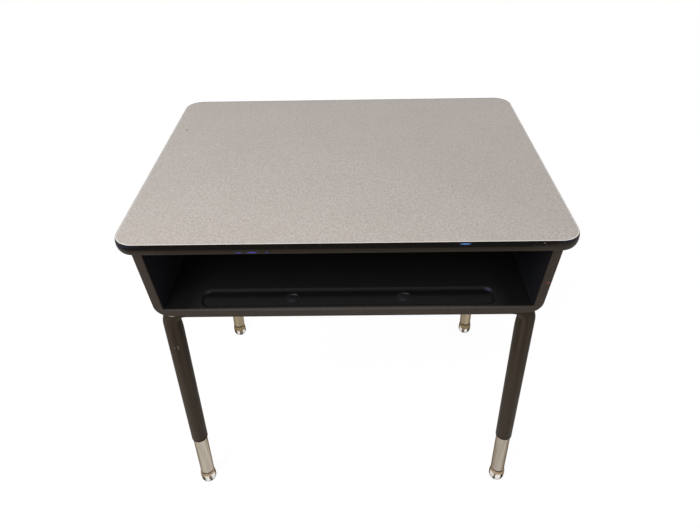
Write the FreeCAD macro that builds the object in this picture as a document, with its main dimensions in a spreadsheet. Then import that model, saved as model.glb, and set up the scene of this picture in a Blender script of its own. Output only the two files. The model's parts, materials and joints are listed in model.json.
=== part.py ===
"""Open-front school desk with a pressed steel book box and telescoping legs.

Millimetres, +Z up, front towards -Y. The origin is on the floor under the centre of the top.
Every driving size is a cell of the sheet, and the sketches and features are bound to those cells.
"""
import FreeCAD
import Part
import Sketcher
import math
import os
from collections import namedtuple
from types import SimpleNamespace

SIZES = {
    # Overall height, and the plan of the top
    "desk_height": 603.2,
    "top_width": 609.6,
    "top_depth": 457.2,
    "top_corner": 30.0,
    # Layers of the top
    "laminate_thick": 1.0,
    "core_thick": 14.6,
    "backer_thick": 0.4,
    # Moulding round the edge: a crowned face with a ridged barb in a slot of the core
    "crown_rise": 1.8,
    "barb_length": 9.0,
    "barb_thick": 1.4,
    "barb_ridge": 0.5,
    "slot_gap": 0.1,
    # Book box, measured inside and set in from the edges of the top
    "sheet_thick": 0.9,
    "box_side_inset": 39.1,
    "box_front_inset": 13.6,
    "box_back_inset": 7.5,
    "box_height": 109.7,
    "box_taper": 3.4,
    "box_bend": 2.5,
    "rim_width": 13.0,
    "rim_return": 8.0,
    "rim_round": 1.5,
    "rim_corner": 5.0,
    "flange_width": 10.0,
    "back_lip": 6.0,
    "sheet_gap": 0.1,
    # Pencil groove at the front, and its twin that seats the rear frame
    "groove_end_gap": 51.7,
    "groove_width": 36.0,
    "groove_depth": 3.2,
    "groove_corner": 14.0,
    "groove_round": 2.0,
    # Leg frames: a bent tube each, set in from the edges of the top and leaning outwards both ways
    "tube_diameter": 28.6,
    "tube_wall": 1.15,
    "tube_bend": 28.0,
    "frame_side_inset": 38.3,
    "frame_end_inset": 38.1,
    "leg_splay": 2.5,
    "leg_lean": 1.1,
    "mouth_height": 137.2,
    # Square stretchers welded between the cross tubes
    "stretcher_spacing": 300.0,
    "stretcher_side": 19.0,
    "stretcher_wall": 1.5,
    "stretcher_round": 2.5,
    # Bolts that hold the frames to the box, and their rivet nuts in the cross tubes
    "bolt_spacing": 164.0,
    "bolt_diameter": 6.35,
    "bolt_length": 14.0,
    "bolt_head": 15.5,
    "bolt_dome": 2.4,
    "bolt_gap": 0.7,
    "washer_diameter": 22.0,
    "washer_thick": 0.8,
    "nut_diameter": 9.5,
    "nut_length": 12.0,
    "nut_flange": 13.0,
    "nut_flange_thick": 0.6,
    # Screws up into the top
    "screw_diameter": 4.2,
    "screw_length": 12.0,
    "screw_head": 8.4,
    "screw_dome": 2.6,
    "screw_gap": 0.05,
    # Telescoping inserts
    "insert_diameter": 25.4,
    "insert_wall": 1.2,
    "insert_length": 305.0,
    "insert_rise": 20.0,
    "hole_pitch": 25.4,
    "hole_diameter": 6.4,
    "hole_end_gap": 18.0,
    # Clamping screws at the mouths of the upper tubes
    "clamp_diameter": 6.0,
    "clamp_above_mouth": 30.0,
    "clamp_head_flats": 8.0,
    "clamp_head_height": 4.0,
    "clamp_washer": 12.5,
    "clamp_washer_thick": 1.0,
    "clamp_gap": 0.3,
    # Plug in the lower end of the insert
    "plug_length": 26.0,
    "plug_flange_thick": 1.6,
    "plug_gap": 0.05,
    # Swivel glide: ball stem, socket cushion and bell-shaped base
    "ball_height": 13.0,
    "ball_diameter": 14.0,
    "stem_diameter": 9.0,
    "stem_length": 40.0,
    "socket_gap": 0.15,
    "socket_rise": 3.5,
    "bell_diameter": 28.6,
    "bell_waist_height": 9.5,
    "bell_shoulder_height": 14.0,
    "bell_height": 28.0,
    "bell_neck": 25.4,
    "bell_foot": 21.0,
    "bell_wall": 1.6,
}

HOLES_BELOW_CLAMP = 2
SIDE_SCREWS = 4
BACK_SCREWS = 3
SIDES = {"left": -1, "right": 1}
ENDS = {"front": -1, "rear": 1}
HEX_CORNERS = 6
BARB_STEPS = 3
FULL_TURN = 360
QUARTER_TURN = 90

doc = FreeCAD.newDocument("SchoolDesk")
sheet = doc.addObject("Spreadsheet::Sheet", "Sizes")
for row, (alias, number) in enumerate(SIZES.items(), start=1):
    sheet.set(f"A{row}", alias)
    sheet.set(f"B{row}", str(number))
    sheet.setAlias(f"B{row}", alias)
doc.recompute()


class Size:
    """A number together with the sheet formula that gives it."""

    def __init__(self, value, formula):
        self.value = float(value)
        self.formula = formula

    def __add__(self, other):
        other = as_size(other)
        return Size(self.value + other.value, f"({self.formula} + {other.formula})")

    def __sub__(self, other):
        other = as_size(other)
        return Size(self.value - other.value, f"({self.formula} - {other.formula})")

    def __mul__(self, other):
        other = as_size(other)
        return Size(self.value * other.value, f"({self.formula} * {other.formula})")

    def __truediv__(self, other):
        other = as_size(other)
        return Size(self.value / other.value, f"({self.formula} / {other.formula})")

    def __neg__(self):
        return Size(-self.value, f"(0 - {self.formula})")

    def sin(self):
        """Sine of an angle in degrees."""
        return Size(math.sin(math.radians(self.value)), f"sin({self.formula})")

    def cos(self):
        """Cosine of an angle in degrees."""
        return Size(math.cos(math.radians(self.value)), f"cos({self.formula})")

    def tan(self):
        """Tangent of an angle in degrees."""
        return Size(math.tan(math.radians(self.value)), f"tan({self.formula})")

    def root(self):
        """Square root."""
        return Size(math.sqrt(self.value), f"sqrt({self.formula})")


def as_size(number):
    """A plain number as a Size, and a Size as it is."""
    return number if isinstance(number, Size) else Size(number, f"{number}")


ZERO = as_size(0)
s = SimpleNamespace(**{alias: Size(number, f"Sizes.{alias}") for alias, number in SIZES.items()})

# Levels and places that several pieces share
top_thick = s.laminate_thick + s.core_thick + s.backer_thick
under_top = s.desk_height - top_thick
core_bottom = under_top + s.backer_thick
laminate_bottom = core_bottom + s.core_thick
core_width = s.top_width - s.crown_rise * 2
core_depth = s.top_depth - s.crown_rise * 2
core_corner = s.top_corner - s.crown_rise
box_floor = under_top - s.box_height
box_floor_width = s.top_width - s.box_side_inset * 2
box_front = s.box_front_inset - s.top_depth / 2
box_back = s.top_depth / 2 - s.box_back_inset
box_depth = box_back - box_front
panel_front = box_back - s.back_lip
wall_slope = s.box_taper.tan()
mouth_half = box_floor_width / 2 + s.box_height * wall_slope
groove_length = box_floor_width - s.groove_end_gap * 2
groove_floor = box_floor - s.groove_depth
nut_seat = groove_floor - s.sheet_thick - s.nut_flange_thick
run_height = nut_seat - s.tube_diameter / 2
tube_bore = s.tube_diameter - s.tube_wall * 2
frame_width = s.top_width - s.frame_side_inset * 2
frame_spread = s.top_depth - s.frame_end_inset * 2
run_y = {end: frame_spread / 2 * sign for end, sign in ENDS.items()}
leg_fall = s.leg_splay.cos() * s.leg_lean.cos()
mouth_reach = (run_height - s.mouth_height) / leg_fall
ball_reach = (run_height - s.ball_height) / leg_fall
clamp_reach = mouth_reach - s.clamp_above_mouth
clamp_rise = ball_reach - clamp_reach
insert_bore = s.insert_diameter - s.insert_wall * 2

Corner = namedtuple("Corner", "x y round bow", defaults=(None, None))
Edge = namedtuple("Edge", "geo first last")


def new_body(label):
    """An empty body whose label names its file."""
    body = doc.addObject("PartDesign::Body", label)
    body.Label = label
    return body


def new_sketch(body, plane, height=ZERO):
    """A sketch on one of the body's own planes, moved along the plane's normal."""
    sketch = body.newObject("Sketcher::SketchObject", f"{body.Name}_sketch")
    support = [feature for feature in body.Origin.OriginFeatures if feature.Role == plane]
    sketch.AttachmentSupport = [(support[0], "")]
    sketch.MapMode = "FlatFace"
    sketch.setExpression("AttachmentOffset.Base.z", height.formula)
    return sketch


def bind(sketch, constraint, size):
    """Adds a constraint whose value is a sheet formula."""
    index = sketch.addConstraint(constraint)
    sketch.setExpression(f"Constraints[{index}]", size.formula)


def pin(sketch, geo, point, x, y):
    """Holds a point of the sketch at x, y from the sketch's origin."""
    for kind, size, axis in (("DistanceX", x, -2), ("DistanceY", y, -1)):
        if size is ZERO:
            sketch.addConstraint(Sketcher.Constraint("PointOnObject", geo, point, axis))
        else:
            bind(sketch, Sketcher.Constraint(kind, -1, 1, geo, point, size.value), size)


def flat(x, y):
    """A point of the sketch plane from two numbers."""
    return FreeCAD.Vector(x, y, 0)


def add_arc(sketch, start, end, centre):
    """The arc of under a half turn from start to end; returns it as an edge."""
    a = start - centre
    b = end - centre
    leftward = a.x * b.y - a.y * b.x > 0
    low = math.atan2(a.y, a.x) if leftward else math.atan2(b.y, b.x)
    high = math.atan2(b.y, b.x) if leftward else math.atan2(a.y, a.x)
    if high < low:
        high += 2 * math.pi
    circle = Part.Circle(centre, FreeCAD.Vector(0, 0, 1), a.Length)
    geo = sketch.addGeometry(Part.ArcOfCircle(circle, low, high), False)
    return Edge(geo, 1, 2) if leftward else Edge(geo, 2, 1)


def rounding(before, here, after, radius):
    """Where a rounded corner leaves its two straight edges, and the centre of its arc."""
    back = (before - here).normalize()
    forth = (after - here).normalize()
    half = back.getAngle(forth) / 2
    reach = radius / math.tan(half)
    middle = (back + forth).normalize()
    return here + back * reach, here + forth * reach, here + middle * (radius / math.sin(half))


def bow_centre(start, end, bow):
    """Centre of the arc from start to end; a negative radius puts it right of the chord."""
    chord = end - start
    rise = math.sqrt(max(bow * bow - chord.Length ** 2 / 4, 0))
    left = FreeCAD.Vector(-chord.y, chord.x, 0).normalize()
    return (start + end) * 0.5 + left * math.copysign(rise, bow)


def draw(sketch, corners, closed=True):
    """Draws an outline, or an open path, through corners that are pinned to the sheet.

    A corner may be rounded, or may start an arc that bows to the next corner.
    """
    count = len(corners)
    spots = [flat(corner.x.value, corner.y.value) for corner in corners]
    leave = list(spots)
    reach = list(spots)
    centres = {}
    for i, corner in enumerate(corners):
        if corner.round is not None:
            ends = rounding(spots[i - 1], spots[i], spots[(i + 1) % count], corner.round.value)
            reach[i], leave[i], centres[i] = ends
    edges = []
    for i in range(count if closed else count - 1):
        start = leave[i]
        end = reach[(i + 1) % count]
        bow = corners[i].bow
        if bow is None:
            edges.append(Edge(sketch.addGeometry(Part.LineSegment(start, end), False), 1, 2))
        else:
            edges.append(add_arc(sketch, start, end, bow_centre(start, end, bow.value)))
            radius = bow if bow.value > 0 else -bow
            bind(sketch, Sketcher.Constraint("Radius", edges[-1].geo, radius.value), radius)
    for i, corner in enumerate(corners):
        before = edges[i - 1] if closed or i > 0 else None
        after = edges[i] if closed or i < count - 1 else None
        if corner.round is not None:
            mark = sketch.addGeometry(Part.Point(spots[i]), True)
            pin(sketch, mark, 1, corner.x, corner.y)
            arc = add_arc(sketch, reach[i], leave[i], centres[i])
            for line, line_end, arc_end in ((before, before.last, arc.first), (after, after.first, arc.last)):
                sketch.addConstraint(Sketcher.Constraint("PointOnObject", mark, 1, line.geo))
                sketch.addConstraint(Sketcher.Constraint("Tangent", line.geo, line_end, arc.geo, arc_end))
            bind(sketch, Sketcher.Constraint("Radius", arc.geo, corner.round.value), corner.round)
        elif after is None:
            pin(sketch, before.geo, before.last, corner.x, corner.y)
        else:
            pin(sketch, after.geo, after.first, corner.x, corner.y)
            if before is not None:
                join = Sketcher.Constraint("Coincident", before.geo, before.last, after.geo, after.first)
                sketch.addConstraint(join)


def draw_circle(sketch, x, y, diameter):
    """A circle pinned at x, y."""
    radius = diameter / 2
    circle = Part.Circle(flat(x.value, y.value), FreeCAD.Vector(0, 0, 1), radius.value)
    geo = sketch.addGeometry(circle, False)
    pin(sketch, geo, 3, x, y)
    bind(sketch, Sketcher.Constraint("Radius", geo, radius.value), radius)


def draw_rectangle(sketch, width, depth, corner, y=ZERO):
    """A rectangle with rounded corners, centred on x = 0."""
    low = y - depth / 2
    high = y + depth / 2
    across = width / 2
    spots = ((-across, low), (across, low), (across, high), (-across, high))
    draw(sketch, [Corner(x, z, corner) for x, z in spots])


def draw_hexagon(sketch, flats):
    """A hexagon measured across its flats."""
    step = FULL_TURN / HEX_CORNERS
    reach = flats / as_size(step / 2).cos() / 2
    angles = [as_size(step * i) for i in range(HEX_CORNERS)]
    draw(sketch, [Corner(reach * angle.cos(), reach * angle.sin()) for angle in angles])


def pad(body, sketch, length, reverse=False):
    """Adds the sketch's outline as material, away from its plane or back through it."""
    feature = body.newObject("PartDesign::Pad", f"{body.Name}_pad")
    feature.Profile = sketch
    feature.setExpression("Length", length.formula)
    feature.Reversed = reverse
    return feature


def pocket(body, sketch, length, reverse=False):
    """Cuts the sketch's outline against its normal, or along it, and checks that it bit."""
    doc.recompute()
    before = body.Shape.Volume
    feature = body.newObject("PartDesign::Pocket", f"{body.Name}_pocket")
    feature.Profile = sketch
    feature.setExpression("Length", length.formula)
    feature.Reversed = reverse
    doc.recompute()
    if body.Shape.Volume >= before:
        raise RuntimeError(f"{feature.Name} cut nothing")
    return feature


def revolve(body, corners):
    """Turns a closed outline, drawn right of the upright axis, into a round piece."""
    sketch = new_sketch(body, "XZ_Plane")
    draw(sketch, corners)
    feature = body.newObject("PartDesign::Revolution", f"{body.Name}_turn")
    feature.Profile = sketch
    feature.ReferenceAxis = (sketch, ["V_Axis"])
    feature.Angle = FULL_TURN
    return feature


def pipe(body, profile, path):
    """Carries a profile along a path."""
    feature = body.newObject("PartDesign::AdditivePipe", f"{body.Name}_pipe")
    feature.Profile = profile
    feature.Spine = (path, [])
    feature.Mode = "Standard"
    return feature


def soften(body, radius, wanted):
    """Rounds the edges of the body's latest feature whose middle and box pass a test."""
    doc.recompute()
    tip = body.Tip
    names = []
    for number, edge in enumerate(tip.Shape.Edges, start=1):
        if wanted(edge.BoundBox):
            names.append(f"Edge{number}")
    feature = body.newObject("PartDesign::Fillet", f"{body.Name}_fillet")
    feature.Base = (tip, names)
    feature.setExpression("Radius", radius.formula)
    return feature


def place(piece, *steps):
    """Puts a piece through a chain of placements, outermost first."""
    placement = FreeCAD.Placement()
    for step in steps:
        placement = placement * step
    piece.Placement = placement


def shift(x=ZERO, y=ZERO, z=ZERO):
    """A placement that only moves."""
    return FreeCAD.Placement(FreeCAD.Vector(x.value, y.value, z.value), FreeCAD.Rotation())


def turn(axis, angle):
    """A placement that only turns about an axis through the origin, in degrees."""
    return FreeCAD.Placement(FreeCAD.Vector(), FreeCAD.Rotation(axis, angle))


X_AXIS = FreeCAD.Vector(1, 0, 0)
Y_AXIS = FreeCAD.Vector(0, 1, 0)


def frame_place(end):
    """The placement of a leg frame: its cross tube's middle, with the frame leaning outwards."""
    return shift(y=run_y[end], z=run_height) * turn(X_AXIS, ENDS[end] * s.leg_lean.value)


def leg_place(end, side, reach):
    """The placement of a point down a leg's axis, with local Z up the leg."""
    sign = SIDES[side]
    hip = shift(x=frame_width / 2 * sign)
    return frame_place(end) * hip * turn(Y_AXIS, -sign * s.leg_splay.value) * shift(z=-reach)


def group(label, template, placements):
    """Copies of one piece as separate solids in one node; the template leaves the document."""
    doc.recompute()
    copies = [template.Shape.transformed(placement.toMatrix()) for placement in placements]
    template.removeObjectsFromDocument()
    doc.removeObject(template.Name)
    node = doc.addObject("Part::Feature", label)
    node.Label = label
    node.Shape = Part.makeCompound(copies)
    return node


def screw_spots():
    """Where the screws go up into the top: along both side flanges and the back flange."""
    side_x = mouth_half + s.sheet_thick + s.flange_width / 2
    step = box_depth / SIDE_SCREWS
    spots = []
    for sign in SIDES.values():
        for i in range(SIDE_SCREWS):
            spots.append((side_x * sign, box_front + step * (i + 0.5)))
    back_y = panel_front - s.flange_width / 2
    back_step = box_floor_width / BACK_SCREWS
    for i in range(BACK_SCREWS):
        spots.append((back_step * (i - (BACK_SCREWS - 1) / 2), back_y))
    return spots


def bolt_spots(y):
    """Where the two bolts of a frame stand."""
    return [(s.bolt_spacing / 2 * sign, y) for sign in SIDES.values()]


def drill(body, plane, height, spots, diameter, length, reverse=False):
    """Round holes at several spots, cut from a plane."""
    sketch = new_sketch(body, plane, height)
    for x, y in spots:
        draw_circle(sketch, x, y, diameter)
    return pocket(body, sketch, length, reverse)


def layer(label, bottom, thick):
    """One rounded sheet of the top."""
    body = new_body(label)
    sketch = new_sketch(body, "XY_Plane", bottom)
    draw_rectangle(sketch, core_width, core_depth, core_corner)
    pad(body, sketch, thick)
    return body


def make_top():
    """Laminate, core and backer, with the core slotted for the moulding and drilled for screws."""
    pilot = s.screw_diameter + s.screw_gap * 2
    layer("top_laminate", laminate_bottom, s.laminate_thick)
    backer = layer("top_backer", under_top, s.backer_thick)
    drill(backer, "XY_Plane", under_top, screw_spots(), pilot, s.backer_thick, True)
    core = layer("top_core", core_bottom, s.core_thick)
    slot_thick = s.barb_thick + s.barb_ridge * 2 + s.slot_gap * 2
    slot_depth = s.barb_length + s.slot_gap
    slot = new_sketch(core, "XY_Plane", core_bottom + s.core_thick / 2 - slot_thick / 2)
    draw_rectangle(slot, s.top_width, s.top_depth, s.top_corner)
    inner_corner = core_corner - slot_depth
    draw_rectangle(slot, core_width - slot_depth * 2, core_depth - slot_depth * 2, inner_corner)
    pocket(core, slot, slot_thick, True)
    pilot_depth = s.screw_length - s.sheet_thick
    drill(core, "XY_Plane", core_bottom, screw_spots(), pilot, pilot_depth, True)


def make_edge_band():
    """Moulding carried round the top: a crowned face, and a barb with two ridges in the slot."""
    body = new_body("edge_band")
    across = core_width / 2
    middle = core_bottom + s.core_thick / 2
    path = new_sketch(body, "XY_Plane", middle)
    half_depth = core_depth / 2
    corners = [
        Corner(across, ZERO),
        Corner(across, half_depth, core_corner),
        Corner(-across, half_depth, core_corner),
        Corner(-across, -half_depth, core_corner),
        Corner(across, -half_depth, core_corner),
    ]
    draw(path, corners)
    profile = new_sketch(body, "XZ_Plane")
    half_band = top_thick / 2
    bow = (half_band * half_band + s.crown_rise * s.crown_rise) / s.crown_rise / 2
    root = s.barb_thick / 2
    ridge = root + s.barb_ridge
    tip = across - s.barb_length
    tooth = s.barb_length / BARB_STEPS
    upper = [
        Corner(across, middle + root),
        Corner(across - tooth, middle + root),
        Corner(across - tooth, middle + ridge),
        Corner(across - tooth * 2, middle + root),
        Corner(across - tooth * 2, middle + ridge),
        Corner(tip, middle + root / 2),
    ]
    lower = [Corner(corner.x, middle * 2 - corner.y) for corner in reversed(upper)]
    face = [Corner(across, under_top, None, bow), Corner(across, s.desk_height)]
    draw(profile, upper + lower + face)
    pipe(body, profile, path)


def trough(offset, extra=ZERO):
    """Corners of the book box's section, moved outwards from its inner faces, left to right.

    Its lower corners are rounded by the sheet's bend, the offset and the extra.
    """
    skew = offset / s.box_taper.cos()
    low_x = box_floor_width / 2 + skew - offset * wall_slope
    low_z = box_floor - offset
    top_x = mouth_half + skew
    bend = s.box_bend + offset + extra
    return [
        Corner(-top_x, under_top),
        Corner(-low_x, low_z, bend),
        Corner(low_x, low_z, bend),
        Corner(top_x, under_top),
    ]


def channel(body, inner, outer, y, length):
    """A U-shaped wall between two rows of trough corners, from y backwards."""
    sketch = new_sketch(body, "XZ_Plane", -y)
    draw(sketch, outer + list(reversed(inner)))
    return pad(body, sketch, length, True)


def make_book_box():
    """Pressed tray: floor and sides, flanged front rim, screw flanges and two pressed grooves."""
    body = new_body("book_box")
    channel(body, trough(ZERO), trough(s.sheet_thick), box_front, box_depth)
    rim_edge = trough(s.rim_width, s.rim_corner)
    channel(body, trough(ZERO), rim_edge, box_front, s.sheet_thick)
    channel(body, trough(s.rim_width - s.sheet_thick, s.rim_corner), rim_edge, box_front, s.rim_return)
    flange_front = box_front + s.rim_return
    flange = new_sketch(body, "XZ_Plane", -flange_front)
    flange_low = under_top - s.sheet_thick
    inside = mouth_half
    outside = mouth_half + s.sheet_thick + s.flange_width
    for sign in SIDES.values():
        spots = ((inside, flange_low), (outside, flange_low), (outside, under_top), (inside, under_top))
        draw(flange, [Corner(x * sign, z) for x, z in spots])
    pad(body, flange, box_depth - s.rim_return, True)
    edge_slack = s.sheet_thick.value / 10
    front = box_front.value
    rim_top = under_top.value - edge_slack
    soften(body, s.rim_round, lambda box: box.YMax < front + edge_slack and box.ZMin < rim_top)
    wall = s.sheet_thick * 2
    hump = new_sketch(body, "XY_Plane", box_floor)
    hump_corner = s.groove_corner + s.sheet_thick
    for y in run_y.values():
        draw_rectangle(hump, groove_length + wall, s.groove_width + wall, hump_corner, y)
    pad(body, hump, s.groove_depth + s.sheet_thick, True)
    sink = new_sketch(body, "XY_Plane", box_floor)
    for y in run_y.values():
        draw_rectangle(sink, groove_length, s.groove_width, s.groove_corner, y)
    pocket(body, sink, s.groove_depth)
    lip_z = box_floor.value
    inset = groove_length.value / 2 + s.sheet_thick.value
    behind = box_front.value + s.rim_width.value / 4
    soften(
        body,
        s.groove_round,
        lambda box: abs(box.ZMin - lip_z) < edge_slack
        and abs(box.ZMax - lip_z) < edge_slack
        and box.YMin > behind
        and box.XMax < inset
        and box.XMin > -inset
        and box.YMax < box_back.value - edge_slack,
    )
    holes = bolt_spots(run_y["front"]) + bolt_spots(run_y["rear"])
    bolt_hole = s.bolt_diameter + s.bolt_gap
    drill(body, "XY_Plane", groove_floor, holes, bolt_hole, s.sheet_thick)
    screw_hole = s.screw_diameter + s.screw_gap * 2
    side_spots = screw_spots()[: SIDE_SCREWS * len(SIDES)]
    drill(body, "XY_Plane", under_top, side_spots, screw_hole, s.sheet_thick)


def make_book_box_back():
    """Back panel: a shallow pan between the tray's walls, with its lips turned to the back."""
    body = new_body("book_box_back")
    panel = new_sketch(body, "XZ_Plane", -panel_front)
    draw(panel, trough(-s.sheet_gap))
    pad(body, panel, s.sheet_thick, True)
    lip = trough(-s.sheet_gap - s.sheet_thick)
    channel(body, lip, trough(-s.sheet_gap), panel_front, s.back_lip)


def make_back_flange():
    """Screw strip under the top, welded along the back panel's face."""
    body = new_body("back_flange")
    flange = new_sketch(body, "XY_Plane", under_top)
    across = box_floor_width / 2
    flange_front = panel_front - s.flange_width
    spots = ((-across, flange_front), (across, flange_front), (across, panel_front), (-across, panel_front))
    draw(flange, [Corner(x, y) for x, y in spots])
    pad(body, flange, s.sheet_thick, True)
    screw_hole = s.screw_diameter + s.screw_gap * 2
    back_spots = screw_spots()[SIDE_SCREWS * len(SIDES):]
    drill(body, "XY_Plane", under_top, back_spots, screw_hole, s.sheet_thick)


def make_top_screws():
    """Domed screws whose heads sit under the flanges."""
    body = new_body("screw_template")
    shank = s.screw_diameter / 2
    head = s.screw_head / 2
    bow = (head * head + s.screw_dome * s.screw_dome) / s.screw_dome / 2
    point = s.screw_length - shank
    corners = [
        Corner(ZERO, -s.screw_dome, None, bow),
        Corner(head, ZERO),
        Corner(shank, ZERO),
        Corner(shank, point),
        Corner(ZERO, s.screw_length),
    ]
    revolve(body, corners)
    seat = under_top - s.sheet_thick
    group("top_screws", body, [shift(x, y, seat) for x, y in screw_spots()])


def make_leg_frame(end):
    """Bent tube: two legs and the cross tube, drilled for the bolts and the clamping screws."""
    body = new_body(f"{end}_leg_frame")
    half = frame_width / 2
    drop = mouth_reach * s.leg_splay.cos()
    foot = half + mouth_reach * s.leg_splay.sin()
    path = new_sketch(body, "XZ_Plane")
    corners = [
        Corner(-foot, -drop),
        Corner(-half, ZERO, s.tube_bend),
        Corner(half, ZERO, s.tube_bend),
        Corner(foot, -drop),
    ]
    draw(path, corners, closed=False)
    profile = new_sketch(body, "XY_Plane", -drop)
    profile.setExpression("AttachmentOffset.Base.x", (-foot).formula)
    profile.AttachmentOffset.Rotation = FreeCAD.Rotation(Y_AXIS, s.leg_splay.value)
    profile.setExpression("AttachmentOffset.Rotation.Angle", s.leg_splay.formula)
    draw_circle(profile, ZERO, ZERO, s.tube_diameter)
    draw_circle(profile, ZERO, ZERO, tube_bore)
    pipe(body, profile, path)
    upright = new_sketch(body, "XY_Plane")
    upright.AttachmentOffset.Rotation = FreeCAD.Rotation(X_AXIS, s.leg_lean.value)
    upright.setExpression("AttachmentOffset.Rotation.Angle", (s.leg_lean * -ENDS[end]).formula)
    for x, y in bolt_spots(ZERO):
        draw_circle(upright, x, y, s.nut_diameter + s.screw_gap * 2)
    pocket(body, upright, s.tube_diameter, True)
    clamp_x = half + clamp_reach * s.leg_splay.sin()
    clamp_z = -(clamp_reach * s.leg_splay.cos())
    clamps = [(clamp_x * sign, clamp_z) for sign in SIDES.values()]
    inward = end == "rear"
    drill(body, "XZ_Plane", ZERO, clamps, s.clamp_diameter + s.screw_gap * 2, s.tube_diameter, inward)
    place(body, frame_place(end))


def make_stretcher(side):
    """Square tube between the cross tubes, its ends shaped to fit round them."""
    body = new_body(f"frame_stretcher_{side}")
    section = new_sketch(body, "XZ_Plane", frame_spread / 2)
    inner = s.stretcher_side - s.stretcher_wall * 2
    draw_rectangle(section, s.stretcher_side, s.stretcher_side, s.stretcher_round)
    draw_rectangle(section, inner, inner, s.stretcher_round - s.stretcher_wall)
    pad(body, section, frame_spread, True)
    cope = new_sketch(body, "YZ_Plane", s.stretcher_side)
    for y in run_y.values():
        draw_circle(cope, y, ZERO, s.tube_diameter)
    pocket(body, cope, s.stretcher_side * 2)
    place(body, shift(x=s.stretcher_spacing / 2 * SIDES[side], z=run_height))


def make_frame_bolts():
    """Domed bolts on washers, down through the grooves into rivet nuts set in the cross tubes."""
    bolt = new_body("bolt_template")
    shank = s.bolt_diameter / 2
    head = s.bolt_head / 2
    bow = (head * head + s.bolt_dome * s.bolt_dome) / s.bolt_dome / 2
    corners = [
        Corner(ZERO, -s.bolt_length),
        Corner(shank, -s.bolt_length),
        Corner(shank, ZERO),
        Corner(head, ZERO, None, bow),
        Corner(ZERO, s.bolt_dome),
    ]
    revolve(bolt, corners)
    spots = bolt_spots(run_y["front"]) + bolt_spots(run_y["rear"])
    group("frame_bolts", bolt, [shift(x, y, groove_floor + s.washer_thick) for x, y in spots])
    washer = new_body("washer_template")
    ring = new_sketch(washer, "XY_Plane")
    draw_circle(ring, ZERO, ZERO, s.washer_diameter)
    draw_circle(ring, ZERO, ZERO, s.bolt_diameter + s.bolt_gap)
    pad(washer, ring, s.washer_thick)
    group("bolt_washers", washer, [shift(x, y, groove_floor) for x, y in spots])
    nut = new_body("nut_template")
    bore = shank + s.screw_gap
    barrel = s.nut_diameter / 2
    flange = s.nut_flange / 2
    corners = [
        Corner(bore, -s.nut_length),
        Corner(barrel, -s.nut_length),
        Corner(barrel, ZERO),
        Corner(flange, ZERO),
        Corner(flange, s.nut_flange_thick),
        Corner(bore, s.nut_flange_thick),
    ]
    revolve(nut, corners)
    group("rivet_nuts", nut, [shift(x, y, nut_seat) for x, y in spots])


def make_height_screws():
    """Hexagon clamping screws whose tips stop just off the inserts."""
    body = new_body("clamp_template")
    surface = s.tube_diameter / 2
    tip = s.insert_diameter / 2 + s.clamp_gap
    shank = new_sketch(body, "XY_Plane", tip)
    draw_circle(shank, ZERO, ZERO, s.clamp_diameter)
    pad(body, shank, surface - tip)
    washer = new_sketch(body, "XY_Plane", surface)
    draw_circle(washer, ZERO, ZERO, s.clamp_washer)
    pad(body, washer, s.clamp_washer_thick)
    head = new_sketch(body, "XY_Plane", surface + s.clamp_washer_thick)
    draw_hexagon(head, s.clamp_head_flats)
    pad(body, head, s.clamp_head_height)
    spots = []
    for end in ENDS:
        aim = turn(X_AXIS, QUARTER_TURN * ENDS[end])
        spots += [leg_place(end, side, clamp_reach) * aim for side in SIDES]
    group("height_screws", body, spots)


def make_insert(end, side):
    """Plated tube that slides in the leg, with a row of height holes on its inner side."""
    body = new_body(f"leg_insert_{end}_{side}")
    ring = new_sketch(body, "XY_Plane", s.insert_rise)
    draw_circle(ring, ZERO, ZERO, s.insert_diameter)
    draw_circle(ring, ZERO, ZERO, insert_bore)
    pad(body, ring, s.insert_length)
    first = clamp_rise - s.hole_pitch * HOLES_BELOW_CLAMP
    last = s.insert_rise + s.insert_length - s.hole_end_gap
    count = 1 + int((last - first).value / s.hole_pitch.value)
    row = [(ZERO, first + s.hole_pitch * i) for i in range(count)]
    drill(body, "XZ_Plane", ZERO, row, s.hole_diameter, s.insert_diameter, end == "rear")
    place(body, leg_place(end, side, ball_reach))


def make_plug(end, side):
    """Plug in the end of the insert, with a flange that caps the tube's edge."""
    body = new_body(f"insert_plug_{end}_{side}")
    bore = s.stem_diameter / 2 + s.plug_gap
    inside = insert_bore / 2 - s.plug_gap
    flange = s.insert_diameter / 2
    low = s.insert_rise - s.plug_flange_thick
    high = s.insert_rise + s.plug_length
    corners = [
        Corner(bore, low),
        Corner(flange, low),
        Corner(flange, s.insert_rise),
        Corner(inside, s.insert_rise),
        Corner(inside, high),
        Corner(bore, high),
    ]
    revolve(body, corners)
    place(body, leg_place(end, side, ball_reach))


def make_stem(end, side):
    """Stem with a ball end, held by the plug."""
    body = new_body(f"glide_stem_{end}_{side}")
    ball = s.ball_diameter / 2
    neck = s.stem_diameter / 2
    neck_z = (ball * ball - neck * neck).root()
    corners = [
        Corner(ZERO, -ball, None, ball),
        Corner(ball, ZERO, None, ball),
        Corner(neck, neck_z),
        Corner(neck, s.stem_length),
        Corner(ZERO, s.stem_length),
    ]
    revolve(body, corners)
    place(body, leg_place(end, side, ball_reach))


def glide_place(end, side):
    """The placement of a glide: on the floor, upright, under the ball's centre."""
    ball = leg_place(end, side, ball_reach).Base
    return FreeCAD.Placement(FreeCAD.Vector(ball.x, ball.y, 0), FreeCAD.Rotation())


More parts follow.
